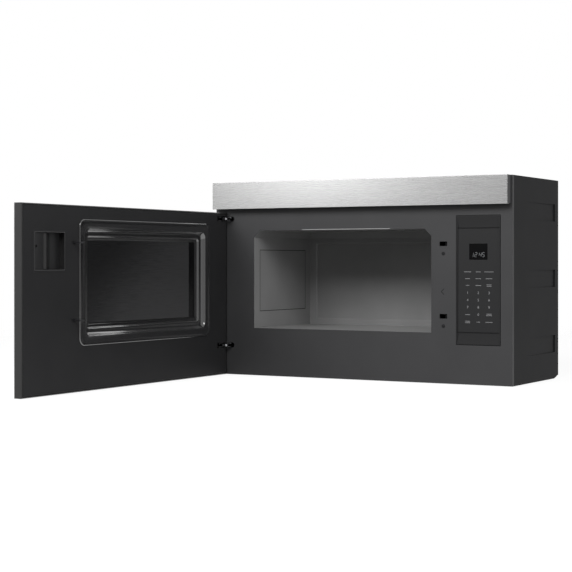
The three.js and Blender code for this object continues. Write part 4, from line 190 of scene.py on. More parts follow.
OVEN_MIDDLE = (0.05, -0.3, 0.0)
softbox("high_front_box", (0.9, -2.65, 1.8), aim=OVEN_MIDDLE, size=(2.4, 1.4), watts=56)
softbox("over_door_box", (-1.2, -2.8, 1.7), aim=OVEN_MIDDLE, size=(1.4, 1.2), watts=55)
softbox("trim_strip", (-1.72, -3.2, 0.95), aim=(-0.3, -0.3, 0.2), size=(0.6, 1.3), watts=10)
softbox("side_box", (3.2, -1.7, 0.7), aim=(0.0, -0.5, 0.0), size=(2.4, 2.4), watts=36,
        mirrored=False)


# ---------------------------------------------------------------- outer wrap and base pan
# The top and both sides are one folded steel sheet with three pressed pads a side; the base is a
# second sheet. Both carry a black polyester powder coat, baked on, with a faint orange-peel skin.
MM = 0.001  # the scene is in metres
WELD_DISTANCE = 0.01 * MM
FLAT_WITHIN = radians(0.5)  # facets that meet more flatly than this are one face
SHARP_BEND = radians(32)  # edges that bend more than this are rounded over


def new_material(name, colour, roughness, metallic=0.0):
    """A material of one colour on the principled shader, ready for its texture."""
    made = bpy.data.materials.new(name)
    made.use_nodes = True
    shader = made.node_tree.nodes["Principled BSDF"]
    shader.inputs["Base Color"].default_value = linear(colour)
    shader.inputs["Roughness"].default_value = roughness
    shader.inputs["Metallic"].default_value = metallic
    return made, made.node_tree, shader


def powder_coat(name, colour, lighter, roughness, peel_mm=2.0, cloud_mm=90.0, gloss=0.35):
    """Baked polyester powder on steel: low, even gloss over soft ripples, a little cloudy."""
    made, tree, shader = new_material(name, colour, roughness)
    shader.inputs["Specular IOR Level"].default_value = gloss
    place = add_node(tree, "TexCoord")
    clouds = add_node(tree, "TexNoise", Vector=place.outputs["Object"], Scale=1 / (cloud_mm * MM),
                      Detail=2.0)
    tint = add_node(tree, "ValToRGB", stops=((0.3, colour), (0.7, lighter)),
                    Fac=clouds.outputs["Fac"])
    tree.links.new(tint.outputs["Color"], shader.inputs["Base Color"])
    peel = add_node(tree, "TexNoise", Vector=place.outputs["Object"], Scale=1 / (peel_mm * MM),
                    Detail=1.0)
    bump = add_node(tree, "Bump", Strength=0.12, Distance=0.15 * MM, Height=peel.outputs["Fac"])
    tree.links.new(bump.outputs["Normal"], shader.inputs["Normal"])
    return made


def softened(node, body, material, edge_mm, segments=2):
    """A copy of a CAD node with its sharp edges rounded over, which stands for that node."""
    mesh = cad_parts[node].data.copy()
    work = bmesh.new()
    work.from_mesh(mesh)
    bmesh.ops.remove_doubles(work, verts=work.verts, dist=WELD_DISTANCE)
    bmesh.ops.dissolve_limit(work, angle_limit=FLAT_WITHIN, verts=work.verts, edges=work.edges)
    sharp = [edge for edge in work.edges
             if len(edge.link_faces) == 2 and edge.calc_face_angle(0) > SHARP_BEND]
    bmesh.ops.bevel(work, geom=sharp, offset=edge_mm * MM, segments=segments, profile=0.5,
                    affect="EDGES", clamp_overlap=True)
    for face in work.faces:
        face.smooth = True
    work.to_mesh(mesh)
    work.free()
    mesh.set_sharp_from_angle(angle=SHARP_BEND)
    mesh.materials.clear()
    mesh.materials.append(material)
    made = bpy.data.objects.new(node + "_made", mesh)
    scene.collection.objects.link(made)
    weighted = made.modifiers.new("even_faces", "WEIGHTED_NORMAL")
    weighted.keep_sharp = True
    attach(made, body)
    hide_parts(node)


def dress(node, material):
    """Gives a CAD node that stays in view its finish."""
    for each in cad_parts[node].material_slots:
        each.material = material


black_powder = powder_coat("black_polyester_powder_coat", 0x222223, 0x262627, 0.6, gloss=0.08)
softened("outer_wrap", "cabinet", black_powder, edge_mm=0.5)
softened("base_pan", "cabinet", black_powder, edge_mm=0.3)

# ---------------------------------------------------------------- front frame
# One pressed steel plate whose edges fold back. It is pierced for the cavity, the latch and the
# hinge arms, and wears a dark grey baked enamel a shade lighter than the wrap.
front_enamel = powder_coat("dark_grey_baked_enamel", 0x39393A, 0x3C3C3D, 0.45, peel_mm=3.0,
                           gloss=0.2)
softened("front_frame", "cabinet", front_enamel, edge_mm=0.2)


# ---------------------------------------------------------------- back, top cover and wall plate
# Bare hot-dip galvanised sheet. The zinc freezes in flat crystals about a centimetre across, each
# a slightly different grey.
def galvanised(name, colour, lighter, spangle_mm=11.0):
    """Hot-dip zinc on steel: faceted grey crystals with a dull metal sheen."""
    made, tree, shader = new_material(name, colour, 0.42, 1.0)
    place = add_node(tree, "TexCoord")
    crystals = add_node(tree, "TexVoronoi", Vector=place.outputs["Object"],
                        Scale=1 / (spangle_mm * MM))
    grey = add_node(tree, "ValToRGB", stops=((0.0, colour), (1.0, lighter)),
                    Fac=crystals.outputs["Color"])
    tree.links.new(grey.outputs["Color"], shader.inputs["Base Color"])
    dull = add_node(tree, "MapRange", Value=crystals.outputs["Color"], To_Min=0.34, To_Max=0.52)
    tree.links.new(dull.outputs["Result"], shader.inputs["Roughness"])
    return made


zinc = galvanised("hot_dip_galvanised_sheet", 0x9EA2A4, 0xB4B8BA)
softened("back_panel", "cabinet", zinc, edge_mm=0.3)
softened("wall_plate", "cabinet", zinc, edge_mm=0.3)
softened("exhaust_cover", "cabinet", zinc, edge_mm=0.3)


# ---------------------------------------------------------------- cord bushing
# A bushing of moulded polyamide, snapped into the cord's hole in the top sheet, so that the edge
# of the sheet can't cut the cord.
def moulded(name, colour, lighter, roughness, grit_mm=0.7, depth=0.3, gloss=0.5):
    """Plastic injection-moulded in a spark-eroded tool: a fine, even grain under a soft sheen."""
    made, tree, shader = new_material(name, colour, roughness)
    shader.inputs["Specular IOR Level"].default_value = gloss
    place = add_node(tree, "TexCoord")
    grain = add_node(tree, "TexNoise", Vector=place.outputs["Object"], Scale=1 / (grit_mm * MM),
                     Detail=2.0)
    tint = add_node(tree, "ValToRGB", stops=((0.35, colour), (0.65, lighter)),
                    Fac=grain.outputs["Fac"])
    tree.links.new(tint.outputs["Color"], shader.inputs["Base Color"])
    bump = add_node(tree, "Bump", Strength=depth, Distance=0.05 * MM, Height=grain.outputs["Fac"])
    tree.links.new(bump.outputs["Normal"], shader.inputs["Normal"])
    return made


black_nylon = moulded("black_moulded_polyamide", 0x2A2A2C, 0x303032, 0.5)
softened("cord_bushing", "cabinet", black_nylon, edge_mm=0.3)

# ---------------------------------------------------------------- grease filters
# A folded aluminium frame holds layers of expanded aluminium mesh, whose diamonds catch grease
# from the range. The mesh field is drawn with its strands raised and its gaps dark.
DIAMOND_MM = (5.0, 2.6)
mesh_aluminium, tree, shader = new_material("expanded_aluminium_mesh", 0xB9BBBD, 0.38, 1.0)
place = add_node(tree, "TexCoord")
turned = add_node(tree, "Mapping", Vector=place.outputs["Object"],
                  Scale=(1 / (DIAMOND_MM[0] * MM), 1 / (DIAMOND_MM[1] * MM), 0.0))
cells = add_node(tree, "TexVoronoi", {"feature": "DISTANCE_TO_EDGE"},
                 Vector=turned.outputs["Vector"], Scale=1.0, Randomness=0.25)
strand = add_node(tree, "ValToRGB", stops=((0.1, 0xC4C6C8), (0.22, 0x4A4B4C)),
                  Fac=cells.outputs["Distance"])
tree.links.new(strand.outputs["Color"], shader.inputs["Base Color"])
bump = add_node(tree, "Bump", {"invert": True}, Strength=0.8, Distance=0.8 * MM,
                Height=cells.outputs["Distance"])
tree.links.new(bump.outputs["Normal"], shader.inputs["Normal"])
for side in ("left", "right"):
    softened("grease_filter_" + side, "filter_" + side, mesh_aluminium, edge_mm=0.6)


# ---------------------------------------------------------------- cooktop lamps
# Two lamps behind clear polycarbonate lenses light the range. The lens is moulded with flutes,
# whose slight haze hides the lamp, and the housing is white polyamide that sends the light down.
def uneven_polish(tree, shader, cloud_mm, least, most, detail=1.0):
    """Lets a smooth surface's roughness wander from cloud to cloud, as no polish is perfect."""
    place = add_node(tree, "TexCoord")
    clouds = add_node(tree, "TexNoise", Vector=place.outputs["Object"], Scale=1 / (cloud_mm * MM),
                      Detail=detail)
    rough = add_node(tree, "MapRange", Value=clouds.outputs["Fac"], To_Min=least, To_Max=most)
    tree.links.new(rough.outputs["Result"], shader.inputs["Roughness"])
    return clouds


clear_plastic, tree, shader = new_material("clear_fluted_polycarbonate", 0xF2F4F4, 0.12)
shader.inputs["Transmission Weight"].default_value = 0.9
shader.inputs["IOR"].default_value = 1.58
uneven_polish(tree, shader, 4.0, 0.06, 0.2, detail=2.0)
white_nylon = moulded("white_moulded_polyamide", 0xDEDCD6, 0xE6E4DE, 0.45)
for side in ("left", "right"):
    softened("lamp_lens_" + side, "cabinet", clear_plastic, edge_mm=0.2)
    dress("lamp_housing_" + side, white_nylon)

# ---------------------------------------------------------------- oven cavity
# A deep steel box with sloped ceiling edges and a pressed field in its back. It is sprayed with a
# grey epoxy-polyester enamel, smooth enough to wipe, which spreads light in a soft, low shine.
grey_enamel = powder_coat("grey_cavity_enamel", 0x878787, 0x8D8D8D, 0.3, peel_mm=6.0, gloss=0.12)
softened("cavity_liner", "cabinet", grey_enamel, edge_mm=0.4)

# Thin print, seams and joints lie a hair above the face they belong to, so that they show.
MARK_LIFT = 0.06 * MM
MARK_DEPTH = 0.08 * MM


def mesh_piece(name, verts, faces, material, body):
    """A new piece from points and faces, riding on a body."""
    mesh = bpy.data.meshes.new(name)
    mesh.from_pydata(verts, [], faces)
    mesh.materials.append(material)
    made = bpy.data.objects.new(name, mesh)
    scene.collection.objects.link(made)
    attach(made, body)
    return made


def prisms(name, ends, material, body):
    """Closed prisms as one piece, each from its outline at the near end and at the far end."""
    verts, faces = [], []
    for near, far in ends:
        start, count = len(verts), len(near)
        verts += near + far
        faces.append([start + i for i in range(count)])
        faces.append([start + count + i for i in reversed(range(count))])
        for i in range(count):
            j = (i + 1) % count
            faces.append([start + j, start + i, start + count + i, start + count + j])
    mesh_piece(name, verts, faces, material, body)


def raised_outlines(name, outlines, front, material, body):
    """Thin slabs from outlines, given as x and z pairs, that face the viewer of the oven."""
    ends = [([(x, front, z) for x, z in outline], [(x, front + MARK_DEPTH, z) for x, z in outline])
            for outline in outlines]
    prisms(name, ends, material, body)


def slab(x0, x1, z0, z1):
    """A plain rectangle as an outline that runs anticlockwise."""
    return [(x0, z0), (x1, z0), (x1, z1), (x0, z1)]


def border(x0, x1, z0, z1, width):
    """Four strips that run round a rectangle, just outside it."""
    return [slab(x0 - width, x0, z0 - width, z1 + width),
            slab(x1, x1 + width, z0 - width, z1 + width),
            slab(x0, x1, z0 - width, z0), slab(x0, x1, z1, z1 + width)]


# Over the middle of the opening the liner's flange is turned over the front frame in a small hem.
# Its pale enamel partly stands in for a highlight along the opening's top edge, as far as which it
# runs. Its section is y and z in millimetres, from its base on the frame.
HEM_HIGHLIGHT_X = (-142.5 * MM, 85.7 * MM)
HEM_BASE = 114.3 * MM
HEM_PROFILE = [(0.0, 0.0), (-0.45, 0.3), (-0.65, 1.0), (-0.45, 1.7), (0.0, 2.1)]
frame_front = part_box("front_frame")[0].y
hem_ends = [[(x, frame_front + y * MM, HEM_BASE + z * MM) for y, z in HEM_PROFILE] for x in HEM_HIGHLIGHT_X]
prisms("cavity_hem_and_highlight", [hem_ends], grey_enamel, "cabinet")

# ---------------------------------------------------------------- feed cover
# A plate of pressed mica paper, sprayed to match the cavity, lets the microwaves in through the
# left wall and keeps food out of the feed.
mica_sheet = powder_coat("enamelled_mica_board", 0x848484, 0x8A8A8A, 0.34, peel_mm=1.2,
                         gloss=0.12)
softened("feed_cover", "cabinet", mica_sheet, edge_mm=0.2)

# The plate sits in a shallow step of the wall, with a thin joint round it. The shade in this and
# every other joint, gap and hollow is painted as a thin matt black strip.
JOINT_WIDTH = 1.3 * MM
shadow_black = moulded("painted_shadow_black", 0x0A0A0B, 0x0E0E0F, 0.8, gloss=0.1)
plate_low, plate_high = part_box("feed_cover")
joint = border(plate_low.y, plate_high.y, plate_low.z, plate_high.z, JOINT_WIDTH)
joint_face = plate_high.x + MARK_LIFT
joint_ends = [[[(x, y, z) for y, z in strip] for x in (joint_face, joint_face - MARK_DEPTH)]
              for strip in joint]
prisms("feed_cover_joint", joint_ends, shadow_black, "cabinet")

# ---------------------------------------------------------------- microwave source
# The feed box and the waveguide are welded from galvanised sheet. The magnetron is a steel yoke
# round pressed aluminium cooling fins, and an aluminium wheel on a small motor stirs the waves.
for each in ("feed_box", "waveguide"):
    dress(each, zinc)


def satin_metal(name, colour, roughness, grain_mm=(30.0, 0.5)):
    """Rolled or turned metal: fine lines along its length, which stretch its highlights."""
    made, tree, shader = new_material(name, colour, roughness, 1.0)
    place = add_node(tree, "TexCoord")
    along, across = grain_mm
    drawn = add_node(tree, "Mapping", Vector=place.outputs["Object"],
                     Scale=(1 / (along * MM), 1 / (across * MM), 1 / (across * MM)))
    lines = add_node(tree, "TexNoise", Vector=drawn.outputs["Vector"], Scale=1.0, Detail=2.0)
    rough = add_node(tree, "MapRange", Value=lines.outputs["Fac"], To_Min=roughness - 0.08,
                     To_Max=roughness + 0.08)
    tree.links.new(rough.outputs["Result"], shader.inputs["Roughness"])
    return made


pressed_aluminium = satin_metal("pressed_aluminium", 0xC3C5C7, 0.36)
dress("magnetron", pressed_aluminium)
dress("stirrer_wheel", pressed_aluminium)
dress("stirrer_motor", zinc)

# ---------------------------------------------------------------- cooling fan
# A glass-filled polyamide shroud and a white moulded wheel blow air over the magnetron. The motor
# is a stack of steel laminations round a copper coil.
dress("fan_shroud", black_nylon)
dress("fan_wheel", white_nylon)
# Turns of varnished wire 0.4 mm thick lie side by side, so a coil looks finely ribbed.
copper_winding = satin_metal("enamelled_copper_winding", 0xB46E42, 0.34, grain_mm=(0.4, 20.0))
dress("fan_motor", copper_winding)

# ---------------------------------------------------------------- vent blower
# Two squirrel-cage wheels of black polyamide turn in galvanised scrolls on one ground steel shaft,
# with the motor between them.
ground_steel = satin_metal("ground_steel", 0xCFD0D2, 0.22)
for side in ("left", "right"):
    dress("blower_housing_" + side, zinc)
    dress("blower_wheel_" + side, black_nylon)
dress("blower_motor", zinc)
dress("blower_shaft", ground_steel)

# ---------------------------------------------------------------- charcoal filter
# A plastic grid holds granulated carbon behind the vent slots, where it takes smells out of the
# air. The grains are a few millimetres across and matt black, each lying its own way.
GRANULE_MM = 3.0
carbon, tree, shader = new_material("granulated_carbon", 0x1A1A1B, 0.85)
place = add_node(tree, "TexCoord")
grains = add_node(tree, "TexVoronoi", Vector=place.outputs["Object"], Scale=1 / (GRANULE_MM * MM))
bump = add_node(tree, "Bump", {"invert": True}, Strength=1.0, Distance=1.2 * MM,
                Height=grains.outputs["Distance"])
tree.links.new(bump.outputs["Normal"], shader.inputs["Normal"])
dark = add_node(tree, "MapRange", Value=grains.outputs["Color"], To_Min=0.7, To_Max=1.0)
tree.links.new(dark.outputs["Result"], shader.inputs["Roughness"])
dress("charcoal_filter", carbon)

# ---------------------------------------------------------------- high voltage parts
# A laminated transformer wound with enamelled copper wire, and an oil-filled capacitor in a can
# drawn from aluminium. Both are bolted inside the cabinet.
dress("hv_transformer", copper_winding)
dress("hv_capacitor", pressed_aluminium)


# ---------------------------------------------------------------- top trim and its end caps
# The full-width vent trim is folded from stainless sheet and linished along its length, so light
# stretches across the grain. Black moulded caps close its ends.
def linished(name, colour, roughness, grain_mm=(70.0, 0.7)):
    """Stainless steel rubbed with an abrasive belt: long, fine, parallel scratches along X."""
    made, tree, shader = new_material(name, colour, roughness, 1.0)
    place = add_node(tree, "TexCoord")
    along, across = grain_mm
    drawn = add_node(tree, "Mapping", Vector=place.outputs["Object"],
                     Scale=(1 / (along * MM), 1 / (across * MM), 1 / (across * MM)))
    lines = add_node(tree, "TexNoise", Vector=drawn.outputs["Vector"], Scale=1.0, Detail=3.0,
                     Roughness=0.65)
    tone = add_node(tree, "ValToRGB", stops=((0.3, colour - 0x060606), (0.7, colour + 0x030303)),
                    Fac=lines.outputs["Fac"])
    tree.links.new(tone.outputs["Color"], shader.inputs["Base Color"])
    rough = add_node(tree, "MapRange", Value=lines.outputs["Fac"], To_Min=roughness - 0.04,
                     To_Max=roughness + 0.04)
    tree.links.new(rough.outputs["Result"], shader.inputs["Roughness"])
    bump = add_node(tree, "Bump", Strength=0.14, Distance=0.05 * MM, Height=lines.outputs["Fac"])
    tree.links.new(bump.outputs["Normal"], shader.inputs["Normal"])
    return made


stainless = linished("linished_stainless_steel", 0xADADAD, 0.27)
softened("top_trim", "cabinet", stainless, edge_mm=0.7, segments=3)
for side in ("left", "right"):
    softened("trim_cap_" + side, "cabinet", black_nylon, edge_mm=0.3)

# ---------------------------------------------------------------- control panel
# A black ABS moulding whose middle is sunk, with a printed polyester keypad foil in the sunk field
# and a dark acrylic window over the clock. The foil has no lamp behind it: its marks are grey ink.
panel_plastic = moulded("black_moulded_abs", 0x1B1B1C, 0x1E1E1F, 0.45, gloss=0.2)
softened("control_bezel", "cabinet", panel_plastic, edge_mm=0.5)
# The foil's hard coat is smoother than the moulding and shows hardly any grain.
foil = moulded("printed_polyester_foil", 0x1E1E1F, 0x212122, 0.4, grit_mm=1.5, depth=0.1,
               gloss=0.2)
softened("keypad_overlay", "cabinet", foil, edge_mm=0.1)
# Cast acrylic tinted almost black is a faintly hazy gloss over a dark field.
acrylic, tree, shader = new_material("dark_acrylic_window", 0x040405, 0.12)
shader.inputs["Specular IOR Level"].default_value = 0.15
uneven_polish(tree, shader, 8.0, 0.08, 0.16)
softened("display_window", "cabinet", acrylic, edge_mm=0.15)
# Green lacquer over woven glass, whose weave shows through as a slight mottle.
epoxy_board = moulded("green_glass_epoxy_board", 0x2B6438, 0x357243, 0.4, grit_mm=4.0)
dress("control_board", epoxy_board)


def bar(x0, x1, z0, z1):
    """A bar with clipped corners, as an outline that runs anticlockwise."""
    clip = min(x1 - x0, z1 - z0) * 0.3
    return [(x0 + clip, z0), (x1 - clip, z0), (x1, z0 + clip), (x1, z1 - clip),
            (x1 - clip, z1), (x0 + clip, z1), (x0, z1 - clip), (x0, z0 + clip)]


# The clock shows slanted seven-segment figures. Each figure is the set of its lit segments.
SEGMENTS = {"1": "bc", "2": "abged", "4": "fgbc", "5": "afgcd"}
FIGURE_HEIGHT = 10.0 * MM
FIGURE_WIDTH = 5.2 * MM
FIGURE_PITCH = 7.2 * MM
STROKE = 0.45 * MM
SLANT = 0.14
CLOCK_FOOT = 8.4 * MM  # from the window's lower edge to the figures
CLOCK_TIME = "1245"
FIGURE_PLACES = (-2.45, -1.25, 0.2, 1.2)  # left edges, in pitches from the window's middle
COLON_PLACE = -0.15
COLON_HEIGHTS = (0.28, 0.66)  # in shares of a figure's height
display_low, display_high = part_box("display_window")
display_middle = (display_low.x + display_high.x) / 2
figure_base = display_low.z + CLOCK_FOOT
clock_outlines = []


def clock_bar(place, u0, u1, v0, v1):
    """One lit bar of the figure at a place, leaning with the others."""
    left = display_middle + place * FIGURE_PITCH
    upright = bar(u0, u1, v0, v1)
    clock_outlines.append([(left + u + SLANT * v, figure_base + v) for u, v in upright])


w, h, s = FIGURE_WIDTH, FIGURE_HEIGHT, STROKE
BARS = {"a": (s, w - s, h - s, h), "b": (w - s, w, h / 2, h - s), "c": (w - s, w, s, h / 2),
        "d": (s, w - s, 0, s), "e": (0, s, s, h / 2), "f": (0, s, h / 2, h - s),
        "g": (s, w - s, (h - s) / 2, (h + s) / 2)}
for place, figure in zip(FIGURE_PLACES, CLOCK_TIME):
    for segment in SEGMENTS[figure]:
        clock_bar(place, *BARS[segment])
for height in COLON_HEIGHTS:
    clock_bar(COLON_PLACE, 0, s, height * h, height * h + s)

# Light-emitting diodes under a milky cap, which glow a little and show no highlight.
clock_light, tree, shader = new_material("white_clock_diodes", 0x8C8E90, 0.5)
shader.inputs["Emission Color"].default_value = linear(0xE8ECF0)
shader.inputs["Emission Strength"].default_value = 0.1
uneven_polish(tree, shader, 1.0, 0.4, 0.6)
raised_outlines("clock_figures", clock_outlines, display_low.y - MARK_LIFT - MARK_DEPTH,
                clock_light, "cabinet")

# Dark shadow gaps part the panel from the front frame and the foil's ends from the moulding.
GAP_WIDTH = 1.1 * MM
SEAM_WIDTH = 0.9 * MM
HIDDEN_FLANGE = 6 * MM  # of the moulding, behind the front frame
bezel_low, bezel_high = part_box("control_bezel")
foil_low, foil_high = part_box("keypad_overlay")
x0, x1 = bezel_low.x + HIDDEN_FLANGE, bezel_high.x - HIDDEN_FLANGE
z0, z1 = bezel_low.z + HIDDEN_FLANGE, bezel_high.z - HIDDEN_FLANGE
raised_outlines("panel_gap", border(x0, x1, z0, z1, GAP_WIDTH), frame_front - MARK_LIFT,
                shadow_black, "cabinet")
seams = [slab(x0 + GAP_WIDTH / 2, x1 - GAP_WIDTH / 2, z - SEAM_WIDTH / 2, z + SEAM_WIDTH / 2)
         for z in (foil_low.z, foil_high.z)]
raised_outlines("foil_seams", seams, bezel_low.y - MARK_LIFT, shadow_black, "cabinet")

# The keypad foil is screen-printed in light grey: ten figures, and a short dashed mark for each
# function key. The marks say nothing; their widths in millimetres follow the keys' captions.
COLUMN_PITCH = 25.2 * MM
CAPTION_PITCH = 14.9 * MM
FIGURE_ROW_PITCH = 15.9 * MM
FIRST_CAPTION = 96.3 * MM  # this and the next two lengths run down from the foil's upper edge
FIRST_FIGURES = 142.4 * MM
LAST_CAPTION = 206.3 * MM
DASH, DASH_GAP, DASH_HEIGHT = 1.1 * MM, 0.55 * MM, 1.5 * MM
LINE_PITCH = 3.2 * MM
KEY_FIGURE_HEIGHT = 5.4 * MM
FONT_SIZE = 1.4 * KEY_FIGURE_HEIGHT  # the font's figures don't fill its whole size
CAPTIONS = [((17,), (12,), (22,)), ((11,), (14,), (15,)), ((8,), (13,), (12, 12))]
FOOT_CAPTIONS = ((12, 12), (9,), (17,))
ZERO_ROW_CAPTIONS = ((12,), (), (12, 13))
foil_middle = (foil_low.x + foil_high.x) / 2
print_front = foil_low.y - MARK_LIFT - MARK_DEPTH
dashes = []


def caption(column, z, widths):
    """Lines of short dashes, one line for each width, centred on a key."""
    for line, width in enumerate(widths):
        count = max(1, round(width * MM / (DASH + DASH_GAP)))
        left = foil_middle + column * COLUMN_PITCH - (count * (DASH + DASH_GAP) - DASH_GAP) / 2
        middle = z - (line - (len(widths) - 1) / 2) * LINE_PITCH
        for i in range(count):
            x = left + i * (DASH + DASH_GAP)
            dashes.append(bar(x, x + DASH, middle - DASH_HEIGHT / 2, middle + DASH_HEIGHT / 2))


for row, keys in enumerate(CAPTIONS):
    for column, widths in zip((-1, 0, 1), keys):
        caption(column, foil_high.z - FIRST_CAPTION - row * CAPTION_PITCH, widths)
for column, widths, last in zip((-1, 0, 1), ZERO_ROW_CAPTIONS, FOOT_CAPTIONS):
    caption(column, foil_high.z - FIRST_FIGURES - 3 * FIGURE_ROW_PITCH, widths)
    caption(column, foil_high.z - LAST_CAPTION, last)
# Screen ink dries to a flat, slightly chalky grey.
ink = moulded("light_grey_screen_ink", 0x88888A, 0x929294, 0.6, grit_mm=0.5)
raised_outlines("key_marks", dashes, print_front, ink, "cabinet")

work = bmesh.new()
for key in range(10):
    text = bpy.data.curves.new("key_figure", "FONT")
    text.body = str(key)
    text.size = FONT_SIZE
    text.align_x = "CENTER"
    text.align_y = "CENTER"
    text.extrude = MARK_DEPTH / 2
    text.resolution_u = 3
    holder = bpy.data.objects.new("key_figure", text)
    scene.collection.objects.link(holder)
    column, row = ((key - 1) % 3 - 1, (key - 1) // 3) if key else (0, 3)
    holder.matrix_world = Matrix.Translation((
        foil_middle + column * COLUMN_PITCH, print_front + MARK_DEPTH / 2,
        foil_high.z - FIRST_FIGURES - row * FIGURE_ROW_PITCH)) @ Matrix.Rotation(pi / 2, 4, "X")
    bpy.context.view_layer.update()
    settled = holder.evaluated_get(bpy.context.evaluated_depsgraph_get())
    shape = bpy.data.meshes.new_from_object(settled)
    shape.transform(holder.matrix_world)
    work.from_mesh(shape)
    bpy.data.objects.remove(holder)
figures_mesh = bpy.data.meshes.new("key_figures")
bmesh.ops.remove_doubles(work, verts=work.verts, dist=0.001 * MM)
work.to_mesh(figures_mesh)
work.free()
figures_mesh.materials.append(ink)
key_figures = bpy.data.objects.new("key_figures", figures_mesh)
scene.collection.objects.link(key_figures)
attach(key_figures, "cabinet")

# ---------------------------------------------------------------- latch board and switches
# A board moulded in matt black polyester, screwed on behind the latch slots. It guides the hooks
# to three snap switches, which let the oven run only while its door is shut. It is drawn almost
# black, darker than the other mouldings, as painted shade inside the latch slots.
black_pbt_and_slot_shade = moulded("black_pbt_with_painted_slot_shade", 0x0B0B0C, 0x101011, 0.6, gloss=0.1)
softened("latch_board", "cabinet", black_pbt_and_slot_shade, edge_mm=0.3)
for each in ("primary_switch", "monitor_switch", "secondary_switch"):
    dress(each, black_pbt_and_slot_shade)

# ---------------------------------------------------------------- front screws
# Two steel screws under the latch slots hold the latch board to the front frame. A phosphate bath
# blackens them; its fine crystals look as matt and even as a moulding's grain.
black_phosphate = moulded("black_phosphated_steel", 0x1E1E1F, 0x262627, 0.6, grit_mm=0.4,
                          gloss=0.1)
for each in ("upper", "lower"):
    softened("front_screw_" + each, "cabinet", black_phosphate, edge_mm=0.15)

# Between the latch slots a small arrow head is stamped in the enamel, and the shade in its grooves
# is painted black. It points to the hinge side, and its two arms lean at 45 degrees with their
# ends cut square.
ARROW_TIP = (210.9 * MM, -25.5 * MM)
ARROW_SIZE = 7.0 * MM
ARROW_STROKE = 1.35 * MM
stroke_along_x = 1.4 * ARROW_STROKE
end_cut = stroke_along_x / 2
tip_x, tip_z = ARROW_TIP
arms = []
for up in (1, -1):
    end_x, end_z = tip_x + ARROW_SIZE, tip_z + up * ARROW_SIZE
    arm = [(tip_x, tip_z), (tip_x + stroke_along_x, tip_z),
           (end_x + end_cut, end_z - up * end_cut), (end_x, end_z)]
    arms.append(arm if up > 0 else arm[::-1])
raised_outlines("front_arrow", arms, frame_front - MARK_LIFT, shadow_black, "cabinet")

# ---------------------------------------------------------------- hinges
# Each pressed steel arm reaches out of its slot to an eye on the door's pin. The arms are
# blackened, with a painted highlight where they leave the slot; the pins are plated with bright
# zinc.
plated_steel = satin_metal("bright_zinc_plate", 0xAEAFB2, 0.32, grain_mm=(4.0, 4.0))
HIGHLIGHT_MIDDLE = -344.0 * MM  # along X, the middle of the painted highlight where an arm leaves its slot
HIGHLIGHT_REACH = (4.0 * MM, 7.0 * MM)  # painted highlight up to the first, black past the second
# The arm's steel is black; the bright patch near its slot is a painted highlight.
painted_highlight_steel = satin_metal("blackened_steel_painted_highlight", 0xC8C9CC, 0.3, grain_mm=(4.0, 4.0))
tree = painted_highlight_steel.node_tree
place = add_node(tree, "TexCoord")
apart = add_node(tree, "SeparateXYZ", Vector=place.outputs["Object"])
offset = add_node(tree, "Math", {"operation": "SUBTRACT"}, _0=apart.outputs["X"], _1=HIGHLIGHT_MIDDLE)
offset = add_node(tree, "Math", {"operation": "ABSOLUTE"}, _0=offset.outputs[0])
painted_glint = add_node(tree, "MapRange", Value=offset.outputs[0], From_Min=HIGHLIGHT_REACH[0],
                From_Max=HIGHLIGHT_REACH[1], To_Min=1.0, To_Max=0.0)
tone = add_node(tree, "ValToRGB", stops=((0.0, 0x161617), (1.0, 0xC8C9CC)),
                Fac=painted_glint.outputs["Result"])
tree.links.new(tone.outputs["Color"], tree.nodes["Principled BSDF"].inputs["Base Color"])
for each in ("upper", "lower"):
    softened("hinge_" + each, "cabinet", painted_highlight_steel, edge_mm=0.4)
    softened("hinge_pin_" + each, "door", plated_steel, edge_mm=0.4)

# ---------------------------------------------------------------- door frame and liner
# The door's body is one black ABS moulding with ribs inside. A powder-coated steel liner is let
# into its oven side, and the shade in the narrow seam round it is painted as a thin black strip.
# The liner is pierced for the window, the hooks, the hinge arms and the pull pocket.
door_plastic = moulded("black_moulded_door_abs", 0x2C2C2D, 0x30302F, 0.46, gloss=0.25)
softened("door_frame", "door", door_plastic, edge_mm=0.8)
liner_powder = powder_coat("black_liner_powder_coat", 0x282829, 0x2B2B2C, 0.5, gloss=0.12)
softened("door_liner", "door", liner_powder, edge_mm=0.3)

LINER_OVER_FILM = 12.4 * MM
CORNER_POINTS = 14
RING_BEND = radians(50)  # a ring's edges that bend more than this stay sharp
SEAM_CORNER = 4.0
SEAM_PROFILE = [(2.3, 0.02), (2.3, 0.1), (3.9, 0.1), (3.9, 0.02)]
door_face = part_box("window_film")[1].x + LINER_OVER_FILM


def rounded_loop(low, high, inset, height, radius):
    """Points round a rounded rectangle inside a rim, anticlockwise seen from the oven."""
    y0, y1 = low.y + inset, high.y - inset
    z0, z1 = low.z + inset, high.z - inset
    corners = ((y1, z0, -90), (y1, z1, 0), (y0, z1, 90), (y0, z0, 180))
    points = []
    for y, z, start in corners:
        centre_y = y - radius if y == y1 else y + radius
        centre_z = z - radius if z == z1 else z + radius
        for i in range(CORNER_POINTS + 1):
            angle = radians(start + 90 * i / CORNER_POINTS)
            points.append((height, centre_y + radius * cos(angle), centre_z + radius * sin(angle)))
    return points


def swept_ring(name, rim, stops, material):
    """A closed ring on the door: a section of stops, each with its own corners, round a rim."""
    verts, faces = [], []
    around = 4 * (CORNER_POINTS + 1)
    for inset, height, radius in stops:
        verts += rounded_loop(*rim, inset, height, radius)
    for ring in range(len(stops)):
        after = (ring + 1) % len(stops)
        for i in range(around):
            j = (i + 1) % around
            faces.append([ring * around + i, ring * around + j,
                          after * around + j, after * around + i])
    made = mesh_piece(name, verts, faces, material, "door")
    for face in made.data.polygons:
        face.use_smooth = True
    made.data.set_sharp_from_angle(angle=RING_BEND)
    return made


